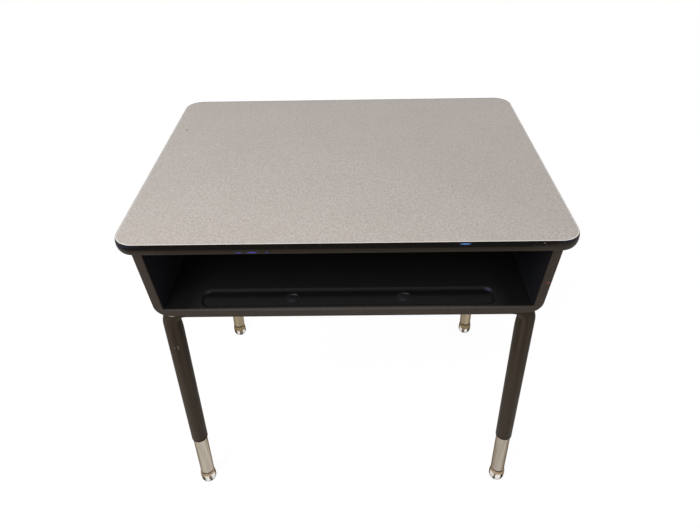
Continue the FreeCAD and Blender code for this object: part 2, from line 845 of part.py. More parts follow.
def make_glide(end, side):
    """Bell-shaped base on the floor, and the cushion in it that holds the ball."""
    bell = new_body(f"glide_base_{end}_{side}")
    foot = s.bell_foot / 2
    waist = s.bell_diameter / 2
    neck = s.bell_neck / 2
    well = neck - s.bell_wall
    below = waist - foot
    foot_chord = below * below + s.bell_waist_height * s.bell_waist_height
    foot_bow = foot_chord / below / 2
    lift = s.bell_height - s.bell_shoulder_height
    inset = waist - neck
    shoulder_bow = (lift * lift + inset * inset) / inset / 2
    corners = [
        Corner(ZERO, ZERO),
        Corner(foot, ZERO, None, foot_bow),
        Corner(waist, s.bell_waist_height),
        Corner(waist, s.bell_shoulder_height, None, shoulder_bow),
        Corner(neck, s.bell_height),
        Corner(well, s.bell_height),
        Corner(well, s.bell_wall),
        Corner(ZERO, s.bell_wall),
    ]
    revolve(bell, corners)
    place(bell, glide_place(end, side))
    cushion = new_body(f"glide_cushion_{end}_{side}")
    socket = s.ball_diameter / 2 + s.socket_gap
    rim = (socket * socket - s.socket_rise * s.socket_rise).root()
    side_wall = well - s.socket_gap
    rim_z = s.ball_height + s.socket_rise
    corners = [
        Corner(ZERO, s.bell_wall),
        Corner(side_wall, s.bell_wall),
        Corner(side_wall, rim_z),
        Corner(rim, rim_z, None, -socket),
        Corner(socket, s.ball_height, None, -socket),
        Corner(ZERO, s.ball_height - socket),
    ]
    revolve(cushion, corners)
    place(cushion, glide_place(end, side))


def check():
    """Stops if any object failed or any piece has no sound solid."""
    for item in doc.Objects:
        if "Invalid" in item.State or "Error" in item.State:
            raise RuntimeError(f"{item.Name} failed: {item.State}")
    for piece in pieces():
        if piece.Shape.isNull() or not piece.Shape.isValid() or not piece.Shape.Solids:
            raise RuntimeError(f"{piece.Label} has no sound solid")


def pieces():
    """The document's sub-parts: its bodies and its groups of fasteners."""
    return [item for item in doc.Objects if item.TypeId in ("PartDesign::Body", "Part::Feature")]


make_top()
make_edge_band()
make_book_box()
make_book_box_back()
make_back_flange()
make_top_screws()
make_frame_bolts()
make_height_screws()
for side_name in SIDES:
    make_stretcher(side_name)
for end_name in ENDS:
    make_leg_frame(end_name)
    for side_name in SIDES:
        make_insert(end_name, side_name)
        make_plug(end_name, side_name)
        make_stem(end_name, side_name)
        make_glide(end_name, side_name)
doc.recompute()
check()
os.makedirs("parts", exist_ok=True)
for piece in pieces():
    piece.Shape.exportStep(f"parts/{piece.Label}.step")
    print(piece.Label, len(piece.Shape.Solids), round(piece.Shape.Volume))
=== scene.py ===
"""Looks of an open-front school desk.

A speckled laminate top with a black moulding, an enamelled steel book box, bent tube legs,
plated telescoping inserts and swivel glides. Metres, +Z up, with the open front towards -Y.
"""
import json
import logging
import math
from dataclasses import dataclass
from enum import Enum

import bmesh
import bpy
import numpy as np
from mathutils import Matrix, Vector


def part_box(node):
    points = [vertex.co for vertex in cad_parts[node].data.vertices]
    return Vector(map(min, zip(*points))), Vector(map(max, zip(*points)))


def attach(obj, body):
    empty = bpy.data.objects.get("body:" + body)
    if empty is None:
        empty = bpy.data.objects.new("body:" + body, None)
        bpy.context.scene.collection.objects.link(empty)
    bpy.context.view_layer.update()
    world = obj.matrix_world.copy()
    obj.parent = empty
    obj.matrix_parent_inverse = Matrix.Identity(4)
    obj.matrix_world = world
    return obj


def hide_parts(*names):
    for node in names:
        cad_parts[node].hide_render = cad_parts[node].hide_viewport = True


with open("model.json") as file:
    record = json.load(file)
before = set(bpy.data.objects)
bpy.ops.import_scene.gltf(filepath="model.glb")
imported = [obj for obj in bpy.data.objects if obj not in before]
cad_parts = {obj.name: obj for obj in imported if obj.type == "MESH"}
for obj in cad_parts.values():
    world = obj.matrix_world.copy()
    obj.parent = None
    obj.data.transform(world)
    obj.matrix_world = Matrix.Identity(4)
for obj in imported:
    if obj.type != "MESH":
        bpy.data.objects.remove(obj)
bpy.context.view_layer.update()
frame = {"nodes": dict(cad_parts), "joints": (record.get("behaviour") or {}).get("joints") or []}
log = logging.getLogger("school_desk")

MM = 0.001
ROOT_BODY = "desk"
ENDS = ("front", "rear")
SIDES = ("left", "right")
SHARP_ANGLE = math.radians(24)
WELD_DISTANCE = 1e-7
TUBE_GRID = "tube_grid"

Points = np.ndarray
Patch = tuple[list, list]
Span = tuple[float, float]
Triple = tuple[float, float, float]
Tree = bpy.types.NodeTree
Node = bpy.types.Node
Socket = bpy.types.NodeSocket
Drive = dict[str, Node]

# A Mix node here mixes colours, so its colour sockets and its colour result are the ones used.
SETTINGS = {"Mix": {"data_type": "RGBA"}}
RESULT = {"ShaderNodeMix": 2}

# The sockets that a tuple of values fills, where they aren't the node's first ones.
ORDER = {
    "Mix": (0, 6, 7),
    "TexNoise": ("Vector", "Scale", "Detail", "Roughness"),
    "TexVoronoi": ("Vector", "Scale"),
    "Mapping": ("Vector", "Scale", "Location"),
    "Bump": ("Strength", "Distance", "Height"),
}

# Most of a noise lies in this span.
NOISE_SPAN = (0.3, 0.7)


class Slot(Enum):
    """The record's material slots, passed with each new piece, which doesn't use them."""

    LAMINATE = "laminate"
    MOULDING = "edge_moulding"
    BOX = "box_enamel"
    FRAME = "frame_enamel"
    ZINC = "zinc_steel"
    BOLT = "dark_steel"
    CHROME = "chrome_plate"


class Recess(Enum):
    """Shapes of the drive recess in a screw's head."""

    HEXAGON = "hexagon"
    CROSS = "cross"


def linear(colour: str) -> tuple[float, float, float, float]:
    """Turns an sRGB hex colour to linear light.

    Args:
        colour: Six hex digits after a hash sign.

    Returns:
        Red, green, blue and an alpha of one.
    """
    channels = np.array([int(colour[i:i + 2], 16) for i in (1, 3, 5)]) / 255
    bent = np.where(channels <= 0.04045, channels / 12.92, ((channels + 0.055) / 1.055) ** 2.4)
    return (*bent.tolist(), 1.0)


def per_metre(size_mm: float) -> float:
    """Texture scale whose features are this many millimetres across."""
    return 1 / (size_mm * MM)


def add(tree: Tree, kind: str, inputs: dict | tuple = (), ramp: tuple = (), **settings: str) -> Node:
    """Adds one node with its settings, values and links.

    Args:
        tree: The node tree that gets the node.
        kind: Blender's name for the type of node, without its prefix.
        inputs: Values by socket, or a tuple of values in the order of the sockets. A value is a
            number, a vector, a hex colour, or the node or output socket that feeds the socket.
        ramp: Stops of a colour ramp, each a position and a hex colour.
        **settings: The node's own properties.

    Returns:
        The new node.
    """
    node = tree.nodes.new(f"ShaderNode{kind}")
    for name, value in {**SETTINGS.get(kind, {}), **settings}.items():
        setattr(node, name, value)
    if isinstance(inputs, tuple):
        inputs = dict(zip(ORDER.get(kind, range(len(inputs))), inputs))
    for key, value in inputs.items():
        if isinstance(value, Node):
            value = value.outputs[RESULT.get(value.bl_idname, 0)]
        if isinstance(value, Socket):
            tree.links.new(value, node.inputs[key])
        else:
            node.inputs[key].default_value = linear(value) if isinstance(value, str) else value
    if ramp:
        stops = node.color_ramp.elements
        while len(stops) < len(ramp):
            stops.new(1.0)
        for stop, (position, colour) in zip(stops, ramp):
            stop.position = position
            stop.color = linear(colour)
    return node


def blank_material(name: str) -> bpy.types.Material:
    """Makes a material with an empty node tree.

    Args:
        name: Name of the material.

    Returns:
        The material.
    """
    material = bpy.data.materials.new(name)
    material.use_nodes = True
    material.node_tree.nodes.clear()
    return material


@dataclass(frozen=True)
class Mark:
    """A spot of dirt, chip, scuff, painted highlight or painted shade: an ellipsoid of another colour, ragged
    and fading at its edge.

    Attributes:
        centre: Middle of the mark in millimetres.
        radii: Half sizes along X, Y and Z in millimetres.
        colour: Hex colour of the mark.
        strength: How far it covers the finish under it.
        grit_mm: Size of the grains that make its edge ragged.
        ragged: How far they shift the edge, in radii.
        fade: Where the cover starts to fade and where it ends, in radii plus the shift.
    """

    centre: Triple
    radii: Triple
    colour: str
    strength: float = 0.9
    grit_mm: float = 1.3
    ragged: float = 1.1
    fade: Span = (1.1, 1.7)

    def lay(self, tree: Tree, place: Socket, under: Node) -> Node:
        """Lays the mark over a colour.

        Args:
            tree: The material's nodes.
            place: Object coordinates.
            under: The colour under the mark.

        Returns:
            The marked colour.
        """
        grit = add(tree, "TexNoise", (place, per_metre(self.grit_mm), 2.0))
        scale = tuple(map(per_metre, self.radii))
        shift = tuple(-c / r for c, r in zip(self.centre, self.radii))
        local = add(tree, "Mapping", (place, scale, shift))
        reach = add(tree, "VectorMath", (local,), operation="LENGTH").outputs["Value"]
        edge = add(tree, "Math", (grit, self.ragged, reach), operation="MULTIPLY_ADD")
        fading = (edge, *self.fade, self.strength, 0.0)
        cover = add(tree, "MapRange", fading, interpolation_type="SMOOTHSTEP")
        return add(tree, "Mix", (cover, under, self.colour))


@dataclass(frozen=True)
class Finish:
    """A surface with the values that hold all over it.

    Attributes:
        name: Common name of the material and how its surface was made.
        roughness: Roughness where no pattern changes it.
        metallic: One for bare or plated metal.
        specular: Strength of the shine of a surface that is no metal.
        rim_tint: Hex colour of a metal's reflection at a glancing angle.
        marks: Stains, chips, painted highlights and painted shade on this finish.
    """

    name: str
    roughness: float
    metallic: float = 0.0
    specular: float = 0.5
    rim_tint: str = "#ffffff"
    marks: tuple[Mark, ...] = ()

    def material(self) -> bpy.types.Material:
        """Builds the material once, and gives the same one afterwards.

        Returns:
            The material, with the pattern on its shader and the marks over its colour.
        """
        if self.name in bpy.data.materials:
            return bpy.data.materials[self.name]
        material = blank_material(self.name)
        tree = material.node_tree
        place = add(tree, "TexCoord").outputs["Object"]
        drive = self.dress(tree, place)
        for mark in self.marks:
            drive["Base Color"] = mark.lay(tree, place, drive["Base Color"])
        plain = {
            "Roughness": self.roughness,
            "Metallic": self.metallic,
            "Specular IOR Level": self.specular,
            "Specular Tint": self.rim_tint,
        }
        shader = add(tree, "BsdfPrincipled", {**plain, **drive})
        add(tree, "OutputMaterial", {"Surface": shader})
        return material

    def dress(self, tree: Tree, place: Socket) -> Drive:
        """Draws the finish's pattern.

        Args:
            tree: The material's nodes.
            place: Object coordinates.

        Returns:
            The nodes that drive the shader, by socket.
        """
        raise NotImplementedError(self.name)


@dataclass(frozen=True)
class SpeckledLaminate(Finish):
    """High-pressure laminate with a printed speckle under a matt melamine skin.

    The eye gets a quiet grey-beige ground, broken by dense small flecks, and a paler routed edge.
    The flecks are drawn coarser than the printed ones, so that they show in the render.
    """

    grounds: tuple[str, str] = ("#aaa19a", "#cbc3bd")
    fleck: str = "#857c76"
    glint: str = "#dcd6d1"
    cut_edge: str = "#f6f1ea"
    ground_mm: float = 3.3
    fleck_mm: float = 3.2
    glint_mm: float = 2.88
    glint_shift: Triple = (0.37, 0.11, 0.0)
    cloud_mm: float = 90.0
    fleck_span: Span = (0.12, 0.3)
    fleck_cover: float = 0.66
    glint_span: Span = (0.1, 0.28)
    glint_cover: float = 0.72
    cloud_cover: float = 0.16
    edge_level: float = 0.0
    edge_fade: Span = (-0.17 * MM, -0.12 * MM)
    gloss_span: Span = (0.5, 0.62)

    def dress(self, tree: Tree, place: Socket) -> Drive:
        """Ground noise, dark flecks, light glints, faint clouds and the pale cut edge.

        Args:
            tree: The material's nodes.
            place: Object coordinates.

        Returns:
            The nodes that drive the shader, by socket.
        """
        ground = add(tree, "TexNoise", (place, per_metre(self.ground_mm), 4.0, 0.74))
        cells = add(tree, "TexVoronoi", (place, per_metre(self.fleck_mm)))
        moved = add(tree, "Mapping", {"Vector": place, "Location": self.glint_shift})
        grains = add(tree, "TexVoronoi", (moved, per_metre(self.glint_mm)))
        cloud = add(tree, "TexNoise", (place, per_metre(self.cloud_mm), 2.0))
        height = add(tree, "SeparateXYZ", (place,)).outputs["Z"]
        cut = (self.edge_level + fade for fade in self.edge_fade)
        layers = (
            ((cells, *self.fleck_span, self.fleck_cover, 0.0), self.fleck),
            ((grains, *self.glint_span, self.glint_cover, 0.0), self.glint),
            ((cloud, *NOISE_SPAN, 0.0, self.cloud_cover), self.grounds[0]),
            ((height, *cut, 1.0, 0.0), self.cut_edge),
        )
        colour = add(tree, "ValToRGB", (ground,), ramp=tuple(zip(NOISE_SPAN, self.grounds)))
        for span, tint in layers:
            cover = add(tree, "MapRange", span)
            colour = add(tree, "Mix", (cover, colour, tint))
        gloss = add(tree, "MapRange", (ground, *NOISE_SPAN, *self.gloss_span))
        relief = add(tree, "Bump", (0.06, 0.1 * MM, ground))
        return {"Base Color": colour, "Roughness": gloss, "Normal": relief}


@dataclass(frozen=True)
class ExtrudedVinyl(Finish):
    """Black vinyl T-moulding: drawn lines run along it, and its lower half is painted brown as a painted
    reflection of the pale floor.

    The drawn lines are coarser than the real ones, so that they show in the render.
    """

    # Dark above, and brown below as a painted reflection of the pale floor.
    upper: str = "#0d0a07"
    lower: str = "#2a231a"
    scuff: str = "#4c463f"
    middle_level: float = 0.0
    half_fade: float = 1.1 * MM
    line_mm: Triple = (60.0, 60.0, 0.5)
    scuff_mm: float = 7.0
    scuff_span: Span = (0.6, 0.78)
    scuff_cover: float = 0.5
    gloss_span: Span = (0.36, 0.5)

    def dress(self, tree: Tree, place: Socket) -> Drive:
        """Dark above and painted brown below a soft line as a painted reflection of the floor, with drawn
        streaks and sparse scuffs.

        Args:
            tree: The material's nodes.
            place: Object coordinates.

        Returns:
            The nodes that drive the shader, by socket.
        """
        height = add(tree, "SeparateXYZ", (place,)).outputs["Z"]
        fade = (self.middle_level - self.half_fade, self.middle_level + self.half_fade)
        # Painted reflection: below the middle the moulding is painted brown, where its face would mirror the
        # pale floor.
        floor_reflection_cover = add(tree, "MapRange", (height, *fade, 1.0, 0.0), interpolation_type="SMOOTHSTEP")
        drawn = add(tree, "Mapping", (place, tuple(map(per_metre, self.line_mm))))
        lines = add(tree, "TexNoise", (drawn, 1.0, 2.0))
        rubs = add(tree, "TexNoise", (place, per_metre(self.scuff_mm), 6.0, 0.75))
        worn = add(tree, "MapRange", (rubs, *self.scuff_span, 0.0, self.scuff_cover))
        body = add(tree, "Mix", (floor_reflection_cover, self.upper, self.lower))
        colour = add(tree, "Mix", (worn, body, self.scuff))
        gloss = add(tree, "MapRange", (lines, *NOISE_SPAN, *self.gloss_span))
        relief = add(tree, "Bump", (0.12, 0.08 * MM, lines))
        return {"Base Color": colour, "Roughness": gloss, "Normal": relief}


@dataclass(frozen=True)
class BakedEnamel(Finish):
    """Dark brown enamel sprayed on steel and baked: a fine orange peel, with dust and rubbed spots.

    The orange peel is coarser than the real one, so that it shows in the render.
    """

    tones: tuple[str, str] = ("#39322b", "#423932")
    rubbed: str = "#6a6056"
    cloud_mm: float = 26.0
    peel_mm: float = 1.1
    rub_mm: Triple = (3.0, 3.0, 60.0)
    rub_span: Span = (0.58, 0.8)
    rub_cover: float = 0.28
    gloss_shift: Span = (-0.06, 0.08)

    def dress(self, tree: Tree, place: Socket) -> Drive:
        """Cloudy brown with lengthwise rubs and an orange peel relief.

        Args:
            tree: The material's nodes.
            place: Object coordinates.

        Returns:
            The nodes that drive the shader, by socket.
        """
        cloud = add(tree, "TexNoise", (place, per_metre(self.cloud_mm), 5.0, 0.6))
        tone = add(tree, "ValToRGB", (cloud,), ramp=tuple(zip(NOISE_SPAN, self.tones)))
        drawn = add(tree, "Mapping", (place, tuple(map(per_metre, self.rub_mm))))
        rubs = add(tree, "TexNoise", (drawn, 1.0, 4.0, 0.65))
        worn = add(tree, "MapRange", (rubs, *self.rub_span, 0.0, self.rub_cover))
        colour = add(tree, "Mix", (worn, tone, self.rubbed))
        span = (self.roughness + shift for shift in self.gloss_shift)
        gloss = add(tree, "MapRange", (cloud, *NOISE_SPAN, *span))
        peel = add(tree, "TexNoise", (place, per_metre(self.peel_mm), 2.0))
        relief = add(tree, "Bump", (0.1, 0.1 * MM, peel))
        return {"Base Color": colour, "Roughness": gloss, "Normal": relief}


@dataclass(frozen=True)
class LinedEnamel(BakedEnamel):
    """The box's enamel, with a near-black inner coat that also partly paints the shade inside the cavity:
    lighter at the front of its floor as painted light, and darker beside and on the side walls as painted
    shade.

    Attributes:
        half_floor: Half the width of the cavity's floor.
        front: Y where the inner coat starts.
        back: Y where it ends.
        floor: Height of the cavity's floor.
        below: How far the grooves go under it.
        slope: How far the side walls lean out for each unit of height.
        painted_light_edge: Y of the edge of the painted light at the front of the floor.
        painted_light_fade: How far to each side of the edge the painted light fades.
        corner_shade_side: Where the painted shade beside the walls starts and is full, from the side walls.
        corner_shade_deep: Where the painted shade beside the walls starts to fade and ends, behind the edge
            of the painted light.
    """

    # Inner tones: shade behind the front; dust, the front of the floor painted lighter as painted light;
    # wall, the side walls' painted shade; grime, painted shade beside the walls.
    shade: str = "#1e1e1f"
    dust: str = "#272727"
    wall: str = "#212226"
    painted_corner_shade: str = "#18181a"
    half_floor: float = 0.0
    front: float = 0.0
    back: float = 0.0
    floor: float = 0.0
    below: float = 4.0 * MM
    slope: float = 0.0
    painted_light_edge: float = 0.0
    painted_light_fade: float = 16.0 * MM
    corner_shade_side: Span = (56.0 * MM, 32.0 * MM)
    corner_shade_deep: Span = (20.0 * MM, 90.0 * MM)

    def dress(self, tree: Tree, place: Socket) -> Drive:
        """The enamel's pattern, with the inner coat over the faces of the cavity.

        A point is inside when it lies between front and back and above the grooves, when its
        distance from the middle, less the walls' slope times its height, is under the floor's half
        width, and when its face doesn't look down.

        Args:
            tree: The material's nodes.
            place: Object coordinates.

        Returns:
            The nodes that drive the shader, by socket.
        """
        drive = super().dress(tree, place)
        axes = add(tree, "SeparateXYZ", (place,)).outputs
        normal = add(tree, "NewGeometry").outputs["Normal"]
        facing = add(tree, "SeparateXYZ", (normal,)).outputs
        aside = add(tree, "Math", (axes["X"],), operation="ABSOLUTE")
        leaned = add(tree, "Math", (axes["Z"], -self.slope, aside), operation="MULTIPLY_ADD")
        tests = (
            (leaned, "LESS_THAN", self.half_floor - self.slope * self.floor),
            (axes["Y"], "GREATER_THAN", self.front),
            (axes["Y"], "LESS_THAN", self.back),
            (axes["Z"], "GREATER_THAN", self.floor - self.below),
            (facing["Z"], "GREATER_THAN", -0.5),
        )
        inside = 1.0
        for value, test, limit in tests:
            passed = add(tree, "Math", (value, limit), operation=test)
            inside = add(tree, "Math", (inside, passed), operation="MULTIPLY")
        # Painted light: the front of the floor, near the opening, is painted lighter than the floor behind
        # it.
        edge = (self.painted_light_edge - self.painted_light_fade, self.painted_light_edge + self.painted_light_fade)
        near = add(tree, "MapRange", (axes["Y"], *edge, 1.0, 0.0))
        # Painted shade: the floor is painted darker beside the side walls, fading out towards the back.
        side = (self.half_floor - gap for gap in self.corner_shade_side)
        beside = add(tree, "MapRange", (aside, *side, 0.0, 1.0))
        deep = (self.painted_light_edge + gap for gap in self.corner_shade_deep)
        reach = add(tree, "MapRange", (axes["Y"], *deep, 1.0, 0.0))
        corner = add(tree, "Math", (beside, reach), operation="MULTIPLY")
        # Painted shade: faces that look sideways, the side walls, get their own darker, bluish tone.
        sideways = add(tree, "Math", (facing["X"],), operation="ABSOLUTE")
        upright = add(tree, "Math", (sideways, 0.5), operation="GREATER_THAN")
        lining = add(tree, "Mix", (near, self.shade, self.dust))
        for cover, tint in ((corner, self.painted_corner_shade), (upright, self.wall)):
            lining = add(tree, "Mix", (cover, lining, tint))
        drive["Base Color"] = add(tree, "Mix", (inside, drive["Base Color"], lining))
        return drive


@dataclass(frozen=True)
class PaintedLightLip(BakedEnamel):
    """Enamel on a pressed lip: a painted highlight along its crest and painted shade at its foot."""

    crest: str = "#242526"
    foot: str = "#141416"
    crest_level: float = 0.0
    foot_level: float = 0.0
    climb_span: Span = (0.25, 0.95)
    cover: float = 0.8

    def dress(self, tree: Tree, place: Socket) -> Drive:
        """The enamel's pattern under a tone that goes from the foot to the crest.

        Args:
            tree: The material's nodes.
            place: Object coordinates.

        Returns:
            The nodes that drive the shader, by socket.
        """
        drive = super().dress(tree, place)
        height = add(tree, "SeparateXYZ", (place,)).outputs["Z"]
        # Painted light and shade: darker at the foot, lighter at the crest.
        climb = add(tree, "MapRange", (height, self.foot_level, self.crest_level, 0.0, 1.0))
        tone = add(tree, "ValToRGB", (climb,), ramp=tuple(zip(self.climb_span, (self.foot, self.crest))))
        drive["Base Color"] = add(tree, "Mix", (self.cover, drive["Base Color"], tone))
        return drive


@dataclass(frozen=True)
class StreakedEnamel(BakedEnamel):
    """Enamel on a drawn tube: soft darker and paler streaks run along it and follow its bends."""

    streaks: tuple[str, str] = ("#1d1711", "#493f33")
    streak_mm: Triple = (11.0, 11.0, 420.0)
    streak_span: Span = (0.32, 0.68)
    start: Triple = (0.0, 0.0, 4.4)
    cover: float = 0.5

    def dress(self, tree: Tree, place: Socket) -> Drive:
        """The enamel's pattern under a noise stretched along the tube, read from the tube's grid.

        Args:
            tree: The material's nodes.
            place: Object coordinates.

        Returns:
            The nodes that drive the shader, by socket.
        """
        drive = super().dress(tree, place)
        grid = add(tree, "Attribute", attribute_name=TUBE_GRID).outputs["Vector"]
        along = add(tree, "Mapping", (grid, tuple(map(per_metre, self.streak_mm)), self.start))
        lines = add(tree, "TexNoise", (along, 1.0, 2.0))
        tone = add(tree, "ValToRGB", (lines,), ramp=tuple(zip(self.streak_span, self.streaks)))
        drive["Base Color"] = add(tree, "Mix", (self.cover, drive["Base Color"], tone))
        return drive


@dataclass(frozen=True)
class PlatedTube(Finish):
    """Drawn steel tube with satin nickel: fine lengthwise lines and faint warm tarnish.

    The lines are coarser than the real ones, so that they show in the render.
    """

    bright: str = "#d9d0c2"
    dull: str = "#ab9f90"
    line_mm: Triple = (1.4, 1.4, 160.0)
    tarnish_mm: float = 9.0
    tarnish_span: Span = (0.62, 1.0)
    gloss_span: Span = (0.3, 0.46)

    def dress(self, tree: Tree, place: Socket) -> Drive:
        """Streaks along the tube, a cloudy tarnish and a roughness that follows the streaks.

        Args:
            tree: The material's nodes.
            place: Object coordinates.

        Returns:
            The nodes that drive the shader, by socket.
        """
        drawn = add(tree, "Mapping", (place, tuple(map(per_metre, self.line_mm))))
        lines = add(tree, "TexNoise", (drawn, 1.0, 3.0, 0.6))
        cloud = add(tree, "TexNoise", (drawn, self.line_mm[0] / self.tarnish_mm, 4.0))
        both = add(tree, "Math", (lines, 0.7, cloud), operation="MULTIPLY_ADD")
        tone = add(tree, "ValToRGB", (both,), ramp=tuple(zip(self.tarnish_span, (self.bright, self.dull))))
        gloss = add(tree, "MapRange", (lines, *NOISE_SPAN, *self.gloss_span))
        relief = add(tree, "Bump", (0.1, 0.05 * MM, lines))
        return {"Base Color": tone, "Roughness": gloss, "Normal": relief}


@dataclass(frozen=True)
class TarnishedPlate(Finish):
    """Bright plating over steel: near mirror, with brown tarnish, a painted tan reflection and painted dark
    bands.

    Attributes:
        bands: Number of dark bands round the piece, painted dark reflections.
        band_edge: Where a band ends, on the cosine that makes them.
        band_fade: How far to each side of the edge a band fades.
        ragged: How far the noise shifts the bands round the piece.
        streak: How dark the bands are.
        axis: Distance of the piece's axis from the desk's middle in X and in Y.
        grime_span: Where the noise of the tarnish starts to show and where it is full.
        tan_reflection_span: Heights between which the plate is painted more tan, a painted reflection of the
            brown desk above.
        painted_tan_reflection: How much more tan is painted there.
    """

    bright: str = "#f3f0ea"
    # tarnish is both the brown tarnish of the patches and the painted tan reflection.
    tarnish: str = "#b09a80"
    # The dark bands' colour: painted dark reflections.
    shadow: str = "#43382b"
    mottle_mm: float = 7.0
    bands: float = 6.0
    band_edge: float = 0.5
    band_fade: float = 0.2
    ragged: float = 1.2
    streak: float = 0.0
    axis: Span = (0.0, 0.0)
    grime_span: Span = (0.55, 0.75)
    tan_reflection_span: Span = (0.0, 1.0)
    painted_tan_reflection: float = 0.0

    def dress(self, tree: Tree, place: Socket) -> Drive:
        """Mirror plating with rougher patches of tarnish and painted tan reflection, and painted dark
        reflections as bands down its sides.

        A band is where the cosine of the angle round the axis, shifted by the noise and taken as
        many times as there are bands, passes the edge.

        Args:
            tree: The material's nodes.
            place: Object coordinates.

        Returns:
            The nodes that drive the shader, by socket.
        """
        mottle = add(tree, "TexNoise", (place, per_metre(self.mottle_mm), 5.0, 0.65))
        axes = add(tree, "SeparateXYZ", (place,)).outputs
        # Painted reflection: more tan between the set heights, where the plate would mirror the brown desk
        # above.
        lift = add(tree, "MapRange", (axes["Z"], *self.tan_reflection_span, 0.0, self.painted_tan_reflection))
        gathered = add(tree, "Math", (mottle, lift), operation="ADD")
        tarnish_and_reflection = add(tree, "MapRange", (gathered, *self.grime_span, 0.0, 1.0))
        local = []
        for name, middle in zip("XY", self.axis):
            folded = add(tree, "Math", (axes[name],), operation="ABSOLUTE")
            local.append(add(tree, "Math", (folded, middle), operation="SUBTRACT"))
        turn = add(tree, "Math", tuple(local), operation="ARCTAN2")
        ragged = add(tree, "Math", (mottle, self.ragged, turn), operation="MULTIPLY_ADD")
        wound = add(tree, "Math", (ragged, self.bands), operation="MULTIPLY")
        wave = add(tree, "Math", (wound,), operation="COSINE")
        edge = (self.band_edge - self.band_fade, self.band_edge + self.band_fade)
        depth = add(tree, "MapRange", (wave, *edge, 0.0, self.streak))
        banded = add(tree, "Mix", (depth, self.bright, self.shadow))
        colour = add(tree, "Mix", (tarnish_and_reflection, banded, self.tarnish))
        gloss = add(tree, "MapRange", (tarnish_and_reflection, 0.0, 1.0, self.roughness, self.roughness + 0.3))
        return {"Base Color": colour, "Roughness": gloss}


@dataclass(frozen=True)
class PressedBoard(Finish):
    """Pressed board or fibre sheet: chips of several browns, matt and slightly rough."""

    chips: tuple[str, str, str] = ("#7a5c3c", "#a98559", "#cdb081")
    chip_mm: float = 2.4
    chip_stops: Triple = (0.1, 0.5, 0.9)

    def dress(self, tree: Tree, place: Socket) -> Drive:
        """One tone per chip, with a relief of the chips' edges.

        Args:
            tree: The material's nodes.
            place: Object coordinates.

        Returns:
            The nodes that drive the shader, by socket.
        """
        cells = add(tree, "TexVoronoi", (place, per_metre(self.chip_mm)))
        pick = add(tree, "SeparateColor", (cells.outputs["Color"],))
        tone = add(tree, "ValToRGB", (pick,), ramp=tuple(zip(self.chip_stops, self.chips)))
        relief = add(tree, "Bump", (0.3, 0.2 * MM, cells))
        return {"Base Color": tone, "Normal": relief}


@dataclass(frozen=True)
class MouldedPolymer(Finish):
    """Moulded nylon or rubber: one tone with a faint mottle and a fine moulded grain."""

    tones: tuple[str, str] = ("#17120d", "#241c14")
    mottle_mm: float = 5.0
    grain_mm: float = 0.7

    def dress(self, tree: Tree, place: Socket) -> Drive:
        """A soft mottle of two near tones over a grain relief.

        Args:
            tree: The material's nodes.
            place: Object coordinates.

        Returns:
            The nodes that drive the shader, by socket.
        """
        mottle = add(tree, "TexNoise", (place, per_metre(self.mottle_mm), 3.0))
        tone = add(tree, "ValToRGB", (mottle,), ramp=tuple(zip(NOISE_SPAN, self.tones)))
        grain = add(tree, "TexNoise", (place, per_metre(self.grain_mm)))
        relief = add(tree, "Bump", (0.15, 0.05 * MM, grain))
        return {"Base Color": tone, "Normal": relief}


# Finishes that need no size of the desk. The frames are a dull brown-black.
FRAME_TONES = ("#2e261e", "#3e352b")
FRAME_ENAMEL = BakedEnamel("baked_enamel_frame", 0.5, specular=0.03, tones=FRAME_TONES)

# Grey screws, nuts and stems, with patches that have lost their shine.
ZINC = TarnishedPlate("zinc_plated_steel", 0.34, metallic=1.0, bright="#b9bcbd", tarnish="#85837c")

# Near-black bolt heads, rubbed brown in places.
BLACKENED = BakedEnamel("blackened_steel", 0.4, specular=0.12, tones=("#222325", "#2b2c2e"), rubbed="#4b4641")

# A straw-coloured core with coarse chips, and a darker, finer sheet under it.
BOARD = PressedBoard("particle_board", 0.85, specular=0.2)
KRAFT = PressedBoard("kraft_backer", 0.8, specular=0.2, chips=("#4e3a28", "#5a4430", "#66503a"), chip_mm=1.2)

# Near-black plugs with a faint sheen, and matt brown-black cushions.
NYLON = MouldedPolymer("moulded_nylon", 0.5)
RUBBER = MouldedPolymer("moulded_rubber", 0.75, tones=("#2e261f", "#3c332a"))

# Pale satin inserts in front, with painted shade on the right one, and darker, browner ones at the rear,
# painted with the shade and brown reflection under the desk.
NICKEL_RIM = "#5e4c3a"
RIGHT_INSERT_SHADE = Mark((283.0, -200.0, 80.0), (30.0, 30.0, 90.0), "#a0968a", 0.5)
INSERT_PLATE = {
    "front": PlatedTube("satin_nickel_tube", 0.36, metallic=1.0, rim_tint=NICKEL_RIM, marks=(RIGHT_INSERT_SHADE,)),
    "rear": PlatedTube(
        "nickel_tube_painted_shade", 0.4, metallic=1.0, rim_tint=NICKEL_RIM, bright="#b3a48d", dull="#8a7b64"
    ),
}


def patch(rows: Points, ring: bool = False, caps: bool = False) -> Patch:
    """Faces of a grid of points whose rows are closed loops.

    Args:
        rows: Array of rows by points by three.
        ring: Joins the last row to the first.
        caps: Fills the first and last rows with one face each.

    Returns:
        The points and the faces, as plain lists.
    """
    count, width = rows.shape[:2]
    row = np.arange(count if ring else count - 1)[:, None]
    column = np.arange(width)[None, :]
    after = (row + 1) % count
    beside = (column + 1) % width
    corners = (row * width + column, row * width + beside, after * width + beside, after * width + column)
    faces = np.stack(np.broadcast_arrays(*corners), axis=-1).reshape(-1, 4).tolist()
    if caps:
        faces.append(np.arange(width)[::-1].tolist())
        faces.append(np.arange((count - 1) * width, count * width).tolist())
    return rows.reshape(-1, 3).tolist(), faces


